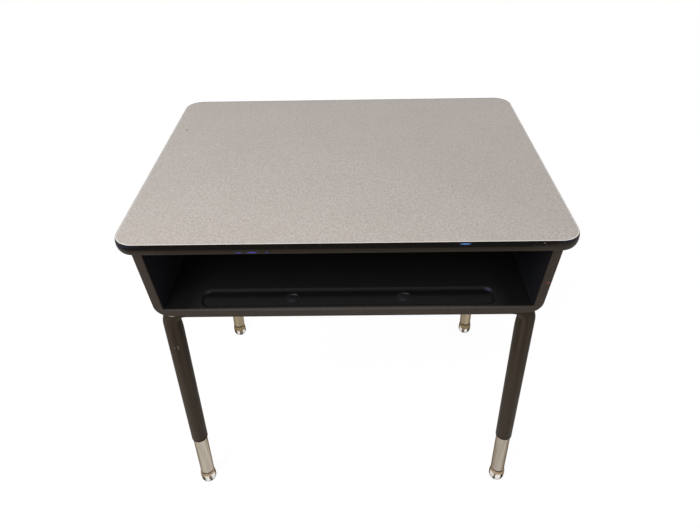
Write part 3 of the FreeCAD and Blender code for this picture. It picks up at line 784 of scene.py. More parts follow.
def make_piece(
    name: str,
    patches: list[Patch],
    finish: Finish,
    slot: Slot,
    body: str,
    *nodes: str,
    grid: Points | None = None,
) -> None:
    """Puts grids into one mesh, closes its seams and poles, and lets it ride on a body.

    Args:
        name: Name of the piece.
        patches: Points and faces of each grid.
        finish: Its surface.
        slot: The record's slot for it; not used.
        body: The body that carries it.
        *nodes: Solids that it stands for.
        grid: Place of each point on its tube, for a pattern that follows the tube.
    """
    points: list = []
    faces: list = []
    for some_points, some_faces in patches:
        start = len(points)
        points += some_points
        faces += [[start + corner for corner in face] for face in some_faces]
    mesh = bpy.data.meshes.new(name)
    mesh.from_pydata(points, [], faces)
    if grid is not None:
        layer = mesh.attributes.new(TUBE_GRID, "FLOAT_VECTOR", "POINT")
        layer.data.foreach_set("vector", grid.ravel())
    shape = bmesh.new()
    shape.from_mesh(mesh)
    bmesh.ops.remove_doubles(shape, verts=shape.verts, dist=WELD_DISTANCE)
    bmesh.ops.recalc_face_normals(shape, faces=shape.faces)
    shape.to_mesh(mesh)
    shape.free()
    mesh.shade_smooth()
    mesh.set_sharp_from_angle(angle=SHARP_ANGLE)
    mesh.materials.append(finish.material())
    piece = bpy.data.objects.new(name, mesh)
    bpy.context.scene.collection.objects.link(piece)
    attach(piece, body)
    if nodes:
        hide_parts(*nodes)
    log.info("%s: %d faces on %s", name, len(mesh.polygons), body)


def dress_node(node: str, finish: Finish) -> None:
    """Gives a solid its finish.

    Args:
        node: Name of the solid.
        finish: Its surface.
    """
    mesh = frame["nodes"][node].data
    mesh.materials.clear()
    mesh.materials.append(finish.material())
    log.info("%s: %s", node, finish.name)


def rounded_plan(width: float, depth: float, corner: float, steps: int) -> tuple[Points, Points]:
    """Anticlockwise loop of a rounded rectangle: four quarter circles joined by straights.

    Args:
        width: Size along the first axis.
        depth: Size along the second axis.
        corner: Radius of the corners.
        steps: Points on each quarter circle.

    Returns:
        The points and their outward normals, each steps times four by two.
    """
    quarter = np.arange(4)[:, None] * math.pi / 2
    angle = (np.linspace(0, math.pi / 2, steps)[None, :] + quarter).ravel()
    normal = np.stack([np.cos(angle), np.sin(angle)], axis=1)
    signs = np.repeat([[1, 1], [-1, 1], [-1, -1], [1, -1]], steps, axis=0)
    centre = signs * np.array([width / 2 - corner, depth / 2 - corner])
    return centre + corner * normal, normal


def carried(loop: Points, normal: Points, out: Points, level: Points) -> Points:
    """A section carried round a loop: each of its points goes out along the loop's normal.

    Args:
        loop: Points of the loop in plan.
        normal: Outward normals there.
        out: How far each point of the section stands out.
        level: Height of each point of the section.

    Returns:
        Loop by section by three.
    """
    rows = np.empty((len(loop), len(out), 3))
    rows[..., :2] = loop[:, None] + out[:, None] * normal[:, None]
    rows[..., 2] = level
    return rows


def turned(radius: Points, height: Points, centre: Points, steps: int = 72) -> Points:
    """Surface of revolution about an upright axis: each row is a circle.

    Args:
        radius: Radius of each row.
        height: Height of each row.
        centre: Foot of the axis.
        steps: Points on each circle.

    Returns:
        Rows by steps by three.
    """
    angle = np.linspace(0, 2 * math.pi, steps, endpoint=False)
    circle = np.stack([np.cos(angle), np.sin(angle)], axis=1)
    rows = np.empty((len(radius), steps, 3))
    rows[..., :2] = radius[:, None, None] * circle[None]
    rows[..., 2] = height[:, None]
    return rows + centre


def unit(vector: Points) -> Points:
    """The vector at length one."""
    return vector / np.linalg.norm(vector)


def leg_axis(end: str, side: str) -> tuple[Points, Points]:
    """The line down a leg.

    Args:
        end: Front or rear.
        side: Left or right.

    Returns:
        The centre of the glide's ball and the unit vector down the leg.
    """
    joints = {joint["name"]: joint for joint in frame["joints"]}
    down = np.array(joints[f"height_{end}_{side}"]["axis"])
    ball = np.array(joints[f"swivel_{end}_{side}"]["pos_m"])
    return ball, unit(down)


@dataclass
class Screw:
    """A domed screw or bolt with a drive recess, drawn about an upright axis.

    Attributes:
        head: Radius of the head.
        dome: Height of the head's dome.
        shank: Radius of the shank.
        length: Length under the head.
        recess: Shape of the recess.
        drive: Half the recess's width across flats, or the reach of the cross.
        depth: Depth of the recess.
        arm: Half width of the cross's arms, as a share of their reach.
    """

    head: float
    dome: float
    shank: float
    length: float
    recess: Recess
    drive: float
    depth: float
    arm: float = 0.24
    steps: int = 96
    rings: int = 10

    def outline(self, angle: Points) -> Points:
        """Radius of the recess at each angle.

        A hexagon is its half width over the cosine from the nearest flat. A cross is its reach
        over the cosine from the nearest arm, cut by the arm's half width over the sine.

        Args:
            angle: Angles about the axis.

        Returns:
            One radius per angle.
        """
        if self.recess is Recess.HEXAGON:
            return self.drive / np.cos(angle % (math.pi / 3) - math.pi / 6)
        turn = (angle + math.pi / 4) % (math.pi / 2) - math.pi / 4
        arm = self.drive * self.arm
        return np.minimum(self.drive / np.cos(turn), arm / np.maximum(np.abs(np.sin(turn)), 1e-6))

    def rows(self, spot: Points, up: int = 1) -> Points:
        """Rows from the recess's floor over the dome and down the shank to its tip.

        The dome is a cap of the sphere through the head's rim and the dome's height.

        Args:
            spot: Centre of the seat under the head.
            up: One for a head on top, minus one for a head underneath.

        Returns:
            Rows by steps by three.
        """
        angle = np.linspace(0, 2 * math.pi, self.steps, endpoint=False)
        edge = self.outline(angle)
        bow = (self.head**2 + self.dome**2) / (2 * self.dome)
        share = np.linspace(0, 1, self.rings)[:, None]
        dome = edge[None, :] * (1 - share) + self.head * share
        dome_height = np.sqrt(bow**2 - dome**2) - bow + self.dome
        every = np.ones(self.steps)
        floor = (self.dome - self.depth) * every
        shank = self.shank * every
        tip = -self.length * every
        radius = np.concatenate([[0 * edge, edge], dome, [shank, shank, 0 * every]])
        height = np.concatenate([[floor, floor], dome_height, [0 * every, tip, tip]])
        rows = np.stack([radius * np.cos(angle), up * radius * np.sin(angle), up * height], axis=-1)
        return rows + spot


TOP_SCREW = Screw(
    head=4.2 * MM,
    dome=2.6 * MM,
    shank=2.1 * MM,
    length=11.5 * MM,
    recess=Recess.CROSS,
    drive=2.3 * MM,
    depth=1.5 * MM,
)
BOLT = Screw(
    head=7.75 * MM,
    dome=2.4 * MM,
    shank=3.17 * MM,
    length=13.9 * MM,
    recess=Recess.HEXAGON,
    drive=2.0 * MM,
    depth=1.7 * MM,
)


def run_y(end: str) -> float:
    """Y of a cross tube's axis: the bolts' outer edge there, less the radius of their heads.

    Args:
        end: Front or rear.

    Returns:
        The Y.
    """
    low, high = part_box("frame_bolts")
    return low.y + BOLT.head if end == "front" else high.y - BOLT.head


@dataclass
class WorkTop:
    """The top: laminate sheet, core, backer and the moulding round the edge."""

    corner: float = 30.0 * MM
    crown: float = 1.8 * MM
    crown_power: float = 2.4
    chamfer_width: float = 1.7 * MM
    chamfer_depth: float = 0.55 * MM
    barb_reach: float = 9.0 * MM
    barb_half: float = 0.7 * MM
    seam: float = 0.5 * MM
    corner_steps: int = 28
    face_steps: int = 15

    def build(self) -> None:
        """Builds the sheet and the moulding and dresses the core and the backer."""
        self.sheet()
        self.moulding()
        dress_node("top_core", BOARD)
        dress_node("top_backer", KRAFT)

    def plan(self) -> tuple[Points, Points]:
        """Outline of the sheet and its outward normals.

        Returns:
            The points and the normals.
        """
        low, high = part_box("top_laminate")
        size = high - low
        return rounded_plan(size.x, size.y, self.corner - self.crown, self.corner_steps)

    def sheet(self) -> None:
        """The laminate: its outline carried up, then drawn in over a routed chamfer."""
        low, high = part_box("top_laminate")
        loop, normal = self.plan()
        out = np.array([0.0, 0.0, -self.chamfer_width])
        level = np.array([low.z, high.z - self.chamfer_depth, high.z])
        rows = carried(loop, normal, out, level).swapaxes(0, 1)
        speck = Mark((-280.0, 105.7, 603.2), (3.0, 1.8, 1.2), "#2a2623", 1.0)
        edge_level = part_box("edge_band")[1].z
        finish = SpeckledLaminate(
            "speckled_laminate", 0.55, specular=0.3, marks=(speck,), edge_level=edge_level
        )
        make_piece(
            "laminate_sheet", [patch(rows, caps=True)], finish, Slot.LAMINATE, ROOT_BODY, "top_laminate"
        )

    def moulding(self) -> None:
        """The moulding's section carried round the edge from a butt seam at the back.

        The face stands out by the crown times one less a power of the distance from its middle.
        """
        low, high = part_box("edge_band")
        across = np.linspace(-1, 1, self.face_steps)
        face = self.crown * (1 - np.abs(across) ** self.crown_power)
        middle = (low.z + high.z) / 2
        barb = np.array([[0.0, 1.0], [-self.barb_reach, 0.5], [-self.barb_reach, -0.5], [0.0, -1.0]])
        out = np.concatenate([face, barb[:, 0]])
        level = middle + np.concatenate([across * (high.z - low.z) / 2, barb[:, 1] * self.barb_half])
        loop, normal = self.plan()
        start = len(loop) // 4
        back = loop[:, 1].max()
        ends = [[[-self.seam / 2, back]], [[self.seam / 2, back]]]
        loop = np.concatenate([ends[0], np.roll(loop, -start, axis=0), ends[1]])
        normal = np.concatenate([[[0.0, 1.0]], np.roll(normal, -start, axis=0), [[0.0, 1.0]]])
        rows = carried(loop, normal, out, level)
        finish = ExtrudedVinyl(
            "extruded_vinyl", 0.42, specular=0.06, marks=self.band_marks(), middle_level=middle
        )
        make_piece(
            "edge_moulding", [patch(rows, caps=True)], finish, Slot.MOULDING, ROOT_BODY, "edge_band"
        )

    def band_marks(self) -> tuple[Mark, ...]:
        """Ink-like marks, a chip, dust on the front corners of the moulding, and a painted bluish sheen on
        their upper part.

        Returns:
            The marks.
        """
        ink = "#4a4bb0"
        painted_sheen = "#262636"
        return (
            Mark((-139.0, -228.0, 590.4), (4.4, 4.0, 0.9), ink),
            Mark((-121.6, -228.0, 590.6), (7.4, 4.0, 1.3), ink),
            Mark((-101.8, -228.0, 590.2), (2.0, 4.0, 1.0), ink),
            Mark((151.6, -228.0, 600.5), (7.2, 4.0, 0.9), "#5c8fd0"),
            Mark((252.0, -228.0, 600.6), (1.4, 4.0, 0.8), "#75675f", 0.8),
            Mark((290.0, -218.0, 593.0), (60.0, 40.0, 8.0), "#3b352d", 0.6),
            Mark((-290.0, -218.0, 590.5), (60.0, 40.0, 6.5), "#3a3229", 0.5),
            # Painted sheen: bluish reflections painted on the upper part of both front corners.
            Mark((-286.0, -218.0, 601.5), (22.0, 18.0, 3.2), painted_sheen, 0.55),
            Mark((284.0, -218.0, 601.5), (20.0, 18.0, 3.2), painted_sheen, 0.55),
        )


@dataclass
class BookBox:
    """The pressed steel box: tray, back panel, its spot welds and the screws and bolts in it."""

    taper: float = math.radians(3.4)
    floor_half: float = 265.7 * MM
    sheet: float = 0.9 * MM
    floor_drop: float = 109.7 * MM
    lip: float = 6.0 * MM
    lining_skin: float = 0.45 * MM
    bare_rim: float = 1.6 * MM
    side_screws: int = 4
    back_screws: int = 3
    side_welds: int = 4
    side_spread: Span = (0.12, 0.88)
    floor_welds: int = 6
    floor_spread: float = 0.85
    weld_radius: float = 3.4 * MM
    weld_rise: float = 0.16 * MM
    weld_ring: float = 0.68
    weld_width: float = 0.16
    weld_lift: float = 0.01 * MM
    weld_sink: float = 0.1 * MM
    groove_length: float = 428.0 * MM
    groove_width: float = 36.0 * MM
    groove_corner: float = 14.0 * MM
    groove_round: float = 2.0 * MM
    groove_depth: float = 3.2 * MM
    groove_slope: float = 3.6 * MM
    groove_proud: float = 0.03 * MM
    groove_steps: int = 20

    def build(self) -> None:
        """Dresses the sheet metal, then adds welds, screws and bolts."""
        coat = self.coat()
        for node in ("book_box", "book_box_back", "back_flange"):
            dress_node(node, coat)
        dress_node("bolt_washers", self.washer_coat())
        for node in ("rivet_nuts", "height_screws"):
            dress_node(node, ZINC)
        self.spot_welds(coat)
        self.groove_walls()
        self.screws()
        self.bolts()

    def floor(self) -> float:
        """Height of the tray's floor."""
        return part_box("book_box")[1].z - self.floor_drop

    def groove_back(self) -> float:
        """Y of the front groove's back edge."""
        return run_y("front") + self.groove_width / 2

    def coat(self) -> Finish:
        """The box's enamel: painted shade along the back of the groove and on the right wall, a red speck,
        and a painted highlight along the rim's top edge.

        Returns:
            The finish.
        """
        strip = (0.0, self.groove_back() / MM - 6.5, (self.floor() - self.groove_depth) / MM)
        marks = (
            # Painted shade: a dark strip along the back of the front groove's floor, under its wall.
            Mark(strip, (600.0, 9.0, 1.6), "#121213", 0.85),
            # Painted shade on the right inner wall.
            Mark((270.0, -60.0, 530.0), (24.0, 170.0, 90.0), "#111115", 0.45),
            Mark((276.4, -215.0, 521.9), (2.6, 3.0, 1.2), "#a8585c", 0.6),
            # Painted highlight along the top of the lower rim, where it bends from the floor.
            Mark((0.0, -215.0, 476.6), (290.0, 5.0, 2.6), "#4f4c4a", 0.7),
        )
        return LinedEnamel(
            "baked_enamel_box",
            0.5,
            specular=0.08,
            marks=marks,
            rub_mm=(3.0, 3.0, 12.0),
            half_floor=self.floor_half + self.lining_skin,
            front=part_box("book_box")[0].y + self.bare_rim,
            back=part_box("book_box_back")[0].y + self.lining_skin,
            floor=self.floor(),
            slope=math.tan(self.taper),
            painted_light_edge=run_y("front") + self.groove_width / 4,
        )

    def washer_coat(self) -> Finish:
        """Worn enamel, with a painted highlight at the far right of each front washer.

        Returns:
            The finish.
        """
        bolt_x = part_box("frame_bolts")[1].x - BOLT.head
        far = run_y("front") / MM + 8.0
        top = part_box("bolt_washers")[1].z / MM
        # Painted highlight: a pale arc on each front washer's far edge.
        marks = tuple(
            Mark((x / MM, far, top), (6.0, 2.2, 2.0), "#62686a", 0.6)
            for x in (bolt_x + 4 * MM, 3 * MM - bolt_x)
        )
        tones = ("#242528", "#2b2c2f")
        return BakedEnamel(
            "worn_black_enamel", 0.4, specular=0.2, tones=tones, rubbed="#45443f", marks=marks
        )

    def lip_coat(self) -> Finish:
        """Enamel of the grooves' lips, with painted highlight on the crest and painted shade at the foot, and
        a painted highlight at each far corner of the front one.

        Returns:
            The finish.
        """
        x = self.groove_length / 2 / MM - 5
        y = self.groove_back() / MM - 3
        z = self.floor() / MM - 1
        marks = (
            # Painted highlights at the far corners of the front groove's lip.
            Mark((x, y, z), (7.0, 5.0, 3.0), "#565e76", 0.35),
            Mark((-x, y, z), (5.0, 4.0, 3.0), "#55565a", 0.2),
        )
        return PaintedLightLip(
            "lip_enamel_painted_light",
            0.62,
            specular=0.06,
            marks=marks,
            tones=("#242527", "#2e2f31"),
            crest_level=self.floor(),
            foot_level=self.floor() - self.groove_depth,
        )

    def weld(self, spot: Points, normal: Points) -> Points:
        """A spot weld: a ring raised like a bell curve round a shallow dimple, sunk at its edge.

        Args:
            spot: Middle of the weld on the sheet.
            normal: Outward normal of the sheet.

        Returns:
            Rows by points by three, closed at both poles.
        """
        share = np.linspace(0, 1, 9)
        rise = self.weld_rise * np.exp(-(((share - self.weld_ring) / self.weld_width) ** 2)) + self.weld_lift
        rise[-1] = -self.weld_sink
        radius = np.append(share * self.weld_radius, 0.0)
        flat = turned(radius, np.append(rise, -self.weld_sink), np.zeros(3), 32)
        side = unit(np.cross([0.0, 1.0, 0.0], normal))
        turn = np.stack([side, np.cross(normal, side), normal])
        return flat @ turn + spot

    def spot_welds(self, coat: Finish) -> None:
        """Welds along the lips that hold the back panel in the tray.

        Args:
            coat: The box's enamel.
        """
        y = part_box("book_box")[1].y - self.lip / 2
        floor = self.floor()
        lean = math.tan(self.taper)
        skin = self.sheet / math.cos(self.taper)
        welds = []
        for sign in (-1, 1):
            normal = np.array([sign * math.cos(self.taper), 0.0, -math.sin(self.taper)])
            for rise in np.linspace(*self.side_spread, self.side_welds) * self.floor_drop:
                x = self.floor_half + rise * lean + skin
                welds.append(self.weld(np.array([sign * x, y, floor + rise]), normal))
        down = np.array([0.0, 0.0, -1.0])
        for x in np.linspace(-self.floor_spread, self.floor_spread, self.floor_welds) * self.floor_half:
            welds.append(self.weld(np.array([x, y, floor - self.sheet]), down))
        make_piece("spot_welds", [patch(rows) for rows in welds], coat, Slot.BOX, ROOT_BODY)

    def groove_walls(self) -> None:
        """The grooves' lips and sloping walls, with painted light and shade on the lips: one section carried
        round each groove.

        The section follows the lip's quarter circle for half of its turn, a hair proud of it. From
        there it falls in a cubic that starts at 45 degrees and lies level where it meets the floor
        of the groove. It comes back under the surface, inside the sheet.
        """
        plan = (self.groove_length, self.groove_width, self.groove_corner)
        loop, normal = rounded_plan(*plan, self.groove_steps)
        proud = self.groove_round + self.groove_proud
        turn = np.radians(np.linspace(90, 45, 7))
        lip_out = self.groove_round - proud * np.cos(turn)
        lip_level = proud * np.sin(turn) - self.groove_round
        share = np.linspace(0, 1, 13)[1:]
        fall = self.groove_depth + lip_level[-1] - self.groove_proud
        steep = self.groove_slope / fall
        drop = steep * share + (3 - 2 * steep) * share**2 + (steep - 2) * share**3
        under = np.array([[-2.8, -3.4], [0.35, -3.4], [0.35, -1.7], [1.3, -0.7], [2.0, -0.3]]) * MM
        out = np.concatenate([lip_out, lip_out[-1] - self.groove_slope * share, under[:, 0]])
        level = self.floor() + np.concatenate([lip_level, lip_level[-1] - fall * drop, under[:, 1]])
        walls = []
        for end in ENDS:
            rows = carried(loop + np.array([0.0, run_y(end)]), normal, out, level)
            walls.append(patch(rows, ring=True))
        make_piece("groove_walls", walls, self.lip_coat(), Slot.BOX, ROOT_BODY)

    def screws(self) -> None:
        """Cross-head screws up through the flanges into the core."""
        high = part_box("top_screws")[1]
        tray_low, tray_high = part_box("book_box")
        seat = tray_high.z - self.sheet
        x, back = high.x - TOP_SCREW.head, high.y - TOP_SCREW.head
        step = (tray_high.y - tray_low.y) / self.side_screws
        along = [tray_low.y + step * (i + 0.5) for i in range(self.side_screws)]
        spots = [(sign * x, y, seat) for sign in (-1, 1) for y in along]
        back_step = 2 * self.floor_half / self.back_screws
        middle = (self.back_screws - 1) / 2
        spots += [(back_step * (i - middle), back, seat) for i in range(self.back_screws)]
        rows = [patch(TOP_SCREW.rows(np.array(spot), -1)) for spot in spots]
        make_piece("flange_screws", rows, ZINC, Slot.ZINC, ROOT_BODY, "top_screws")

    def bolts(self) -> None:
        """Hexagon-socket bolts on washers in the grooves."""
        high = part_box("frame_bolts")[1]
        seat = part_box("bolt_washers")[1].z
        x, y = high.x - BOLT.head, high.y - BOLT.head
        spots = [(a * x, b * y, seat) for a in (-1, 1) for b in (-1, 1)]
        rows = [patch(BOLT.rows(np.array(spot))) for spot in spots]
        make_piece("groove_bolts", rows, BLACKENED, Slot.BOLT, ROOT_BODY, "frame_bolts")


@dataclass
class LegFrames:
    """Two bent tubes, each a pair of legs and a cross tube, and the stretchers between them."""

    radius: float = 14.3 * MM
    wall: float = 1.15 * MM
    bend: float = 28.0 * MM
    oval: float = 0.025
    oval_swell: float = 0.4
    dent: float = 3.6 * MM
    dent_middle: float = 15.0 * MM
    dent_reach: float = 16.0 * MM
    dent_lead: Span = (1.6, 0.05)
    dent_steps: int = 12
    seam_rise: float = 0.18 * MM
    seam_width: float = 0.07
    bore_shown: float = 60.0 * MM
    bend_steps: int = 20
    lip_steps: int = 7
    round_steps: int = 96
    stretcher_corner: float = 2.5 * MM
    bead: float = 1.7 * MM
    bead_ripple: float = 0.16
    bead_pitch: float = 2.4 * MM
    bead_steps: int = 14
    bead_corner_steps: int = 26

    def build(self) -> None:
        """Builds both tubes, dresses the stretchers and lays the weld beads."""
        for end in ENDS:
            self.tube(end)
        for side in SIDES:
            dress_node(f"frame_stretcher_{side}", FRAME_ENAMEL)
        self.beads()

    def coat(self) -> Finish:
        """Streaked enamel: a pale streak at the top of the left front leg, lighter towards the bottom of the
        legs, dark mouths and two chips.

        Returns:
            The finish.
        """
        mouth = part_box("front_leg_frame")[0].z / MM
        everywhere = 3000.0
        marks = (
            Mark((-269.8, -205.0, 454.2), (17.0, 8.0, 0.7), "#cfc8c0", 0.8),
            Mark((0.0, 0.0, 130.0), (everywhere, everywhere, 260.0), "#463d34", 0.5),
            Mark((0.0, 0.0, mouth + 1.5), (everywhere, everywhere, 4.5), "#1b150f", 0.6),
            Mark((-265.5, -206.0, 387.2), (0.9, 6.0, 5.0), "#7d746c", 0.7),
            Mark((-270.7, -206.0, 387.0), (1.0, 6.0, 1.8), "#7d736b", 0.6),
        )
        return StreakedEnamel("baked_enamel_tube", 0.5, specular=0.03, marks=marks, tones=FRAME_TONES)

    def tube(self, end: str) -> None:
        """The tube carried up one leg, round a bend, across, round a bend and down the other leg.

        Each bend is pressed: its inner side is drawn in by a bell curve along the tube times the
        squared cosine round it. A weld seam stands up along the inner side as a narrow bell curve.

        Args:
            end: Front or rear.
        """
        low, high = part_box(f"{end}_leg_frame")
        run_level = high.z - self.radius
        legs = [leg_axis(end, side) for side in SIDES]
        hips = [ball + down * (run_level - ball[2]) / down[2] for ball, down in legs]
        left_down, right_down = (down for _, down in legs)
        up = -left_down
        across = unit(hips[1] - hips[0])
        facing = unit(np.cross(across, left_down))
        mouth_level = low.z + self.radius * math.sqrt(1 - left_down[2] ** 2)
        reach = (run_level - mouth_level) / up[2]
        first, first_way = self.corner(hips[0], up, across)
        second, second_way = self.corner(hips[1], across, right_down)
        lip = self.wall / 2
        roll = np.linspace(0, math.pi, self.lip_steps)
        offset = np.append(self.bore_shown, lip - lip * np.sin(roll))
        lip_radius = np.append(self.radius - self.wall, self.radius - lip - lip * np.cos(roll))
        lead = np.linspace(*self.dent_lead, self.dent_steps) * self.dent_reach
        start = np.concatenate(
            [hips[0] + left_down * reach + offset[:, None] * up, first[0] - lead[:, None] * up]
        )
        finish = np.concatenate(
            [
                second[-1] + lead[::-1, None] * right_down,
                hips[1] + right_down * reach - offset[::-1, None] * right_down,
            ]
        )
        centre = np.concatenate([start, first, second, finish])
        way = np.concatenate(
            [np.tile(up, (len(start), 1)), first_way, second_way, np.tile(right_down, (len(finish), 1))]
        )
        plain = np.full(2 * (self.dent_steps + self.bend_steps), self.radius)
        radius = np.concatenate([lip_radius, plain, lip_radius[::-1]])[:, None]
        squeeze = np.sin(np.linspace(0, math.pi, self.bend_steps)) * self.oval
        none = np.zeros(len(start))
        flat = np.concatenate([none, squeeze, squeeze, none])[:, None]
        angle = np.linspace(0, 2 * math.pi, self.round_steps, endpoint=False)
        inner_side = math.pi / 2 if end == "front" else -math.pi / 2
        away = np.angle(np.exp(1j * (angle - inner_side)))
        ridge = self.seam_rise * np.exp(-((away / self.seam_width) ** 2))
        bent = np.linspace(0, math.pi / 2 * self.bend, self.bend_steps)
        travel = np.concatenate([np.full(len(offset), -1.0), -lead, bent])
        travel = np.concatenate([travel, travel[::-1]])[:, None]
        pressed = np.exp(-(((travel - self.dent_middle) / self.dent_reach) ** 2))
        hollow = self.dent * pressed * np.maximum(-np.cos(angle), 0) ** 2
        ring = radius + (ridge - hollow) * (radius > self.radius - lip)
        sideways = ring * np.cos(angle) * (1 - flat)
        forwards = ring * np.sin(angle) * (1 + self.oval_swell * flat)
        side = np.cross(way, facing)
        rows = centre[:, None] + sideways[..., None] * side[:, None] + forwards[..., None] * facing
        steps = np.linalg.norm(np.diff(centre, axis=0, prepend=centre[:1]), axis=1)
        grid = np.empty_like(rows)
        grid[..., 0] = self.radius * np.cos(angle)
        grid[..., 1] = self.radius * np.sin(angle)
        grid[..., 2] = np.cumsum(steps)[:, None]
        faces = [patch(rows, caps=True)]
        name = f"{end}_tube"
        make_piece(name, faces, self.coat(), Slot.FRAME, ROOT_BODY, f"{end}_leg_frame", grid=grid)

    def corner(self, hip: Points, before: Points, after: Points) -> tuple[Points, Points]:
        """Arc of the bend that rounds the corner between two straights.

        Args:
            hip: Where the two straights would meet.
            before: Direction into the corner.
            after: Direction out of it.

        Returns:
            Points of the arc and the directions there.
        """
        turn = math.acos(float(before @ after))
        start = hip - before * self.bend * math.tan(turn / 2)
        outward = unit(before * math.cos(turn) - after)
        centre = start - outward * self.bend
        angle = np.linspace(0, turn, self.bend_steps)[:, None]
        points = centre + self.bend * (np.cos(angle) * outward + np.sin(angle) * before)
        return points, np.cos(angle) * before - np.sin(angle) * outward

    def beads(self) -> None:
        """Weld beads where the square stretchers meet the round cross tubes.

        The path is the square's outline pushed onto the tube: y is the tube's centre less the root
        of the radius squared less the height squared. The bead's radius ripples along it.
        """
        welds = []
        run_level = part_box("front_leg_frame")[1].z - self.radius
        turn = np.linspace(0, 2 * math.pi, self.bead_steps, endpoint=False)[None, :, None]
        for side in SIDES:
            low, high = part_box(f"frame_stretcher_{side}")
            size = high.x - low.x
            loop, normal = rounded_plan(size, size, self.stretcher_corner, self.bead_corner_steps)
            length = np.cumsum(np.linalg.norm(np.diff(loop, axis=0, prepend=loop[-1:]), axis=1))
            ripple = self.bead * (1 + self.bead_ripple * np.sin(2 * math.pi * length / self.bead_pitch))
            depth = np.sqrt(self.radius**2 - loop[:, 1] ** 2)
            outward = np.stack([normal[:, 0], np.zeros(len(loop)), normal[:, 1]], axis=1)
            x, z = loop[:, 0] + (low.x + high.x) / 2, loop[:, 1] + run_level
            for end, sign in zip(ENDS, (-1, 1)):
                path = np.stack([x, run_y(end) - sign * depth, z], axis=1)
                along = np.array([0.0, -sign, 0.0])
                spread = np.cos(turn) * outward[:, None] + np.sin(turn) * along
                welds.append(patch(path[:, None] + ripple[:, None, None] * spread, ring=True))
        make_piece("stretcher_welds", welds, FRAME_ENAMEL, Slot.FRAME, ROOT_BODY)


@dataclass
class Insert:
    """One telescoping insert with its plug and glide stem."""

    end: str
    side: str

    def build(self) -> None:
        """Dresses the tube, the plug in its end and the ball stem."""
        leg = f"{self.end}_{self.side}"
        dress_node(f"leg_insert_{leg}", INSERT_PLATE[self.end])
        dress_node(f"insert_plug_{leg}", NYLON)
        dress_node(f"glide_stem_{leg}", ZINC)


@dataclass
class Glide:
    """One swivel glide: a plated bell on the floor, with a cushion in it."""

    end: str
    side: str
    foot: float = 10.5 * MM
    foot_round: float = 0.8 * MM
    waist: float = 14.3 * MM
    waist_level: float = 9.5 * MM
    shoulder_level: float = 14.0 * MM
    neck: float = 12.7 * MM
    height: float = 28.0 * MM
    wall: float = 1.6 * MM
    arc_steps: int = 18
    lip_steps: int = 9

    def build(self) -> None:
        """Turns the bell and dresses the cushion."""
        leg = f"{self.end}_{self.side}"
        ball = leg_axis(self.end, self.side)[0]
        rows = turned(*self.section(), np.array([ball[0], ball[1], 0.0]))
        name, body, node = f"glide_bell_{leg}", f"glide_{leg}", f"glide_base_{leg}"
        make_piece(name, [patch(rows)], self.coat(), Slot.CHROME, body, node)
        dress_node(f"glide_cushion_{leg}", RUBBER)

    def coat(self) -> Finish:
        """Bright plate on the front feet, and a darker one on the rear feet that paints the shade under the
        desk.

        Returns:
            The finish.
        """
        axis = tuple(abs(leg_axis("front", "left")[0][:2]).tolist())
        shared = {"metallic": 1.0, "rim_tint": "#4d4232", "axis": axis, "streak": 0.9, "painted_tan_reflection": 0.34}
        if self.end == "front":
            return TarnishedPlate("bright_nickel_plate", 0.1, tan_reflection_span=(19.5 * MM, 24.5 * MM), **shared)
        # Painted shade: the rear glides get a darker tan and more dark bands, for the shade under the desk.
        rear_in_shade = {"tarnish": "#8c795c", "band_edge": -0.1, "tan_reflection_span": (14.0 * MM, 21.0 * MM)}
        return TarnishedPlate("nickel_plate_painted_shade", 0.14, **rear_in_shade, **shared)

    def section(self) -> tuple[Points, Points]:
        """Half section of the bell from the floor's middle, outside up to the lip and down the well.

        The foot and the shoulder are arcs that stand upright at the waist: the radius is the waist
        less a bow, whose circle passes through the foot, or the neck.

        Returns:
            Radii and levels.
        """
        climb = np.linspace(0, 1, self.arc_steps)
        lip = self.wall / 2
        lift = self.height - self.shoulder_level
        foot_level = self.foot_round + climb * (self.waist_level - self.foot_round)
        foot_radius = self.bow(self.waist - self.foot, self.waist_level, self.waist_level - foot_level)
        shoulder_level = self.shoulder_level + climb * (lift - lip)
        shoulder_radius = self.bow(self.waist - self.neck, lift, shoulder_level - self.shoulder_level)
        roll = np.linspace(0, math.pi, self.lip_steps)
        lip_radius = self.neck - lip + lip * np.cos(roll)
        lip_level = self.height - lip + lip * np.sin(roll)
        floor = [0.0, self.foot - self.foot_round]
        well = [self.neck - self.wall, 0.0]
        radius = np.concatenate([floor, foot_radius, shoulder_radius, lip_radius, well])
        level = np.concatenate([[0.0, 0.0], foot_level, shoulder_level, lip_level, [self.wall] * 2])
        return radius, level

    def bow(self, inset: float, rise: float, away: Points) -> Points:
        """Radius at a distance from the waist, on the arc that draws in by inset over rise."""
        circle = (inset**2 + rise**2) / (2 * inset)
        return self.waist - circle + np.sqrt(circle**2 - away**2)


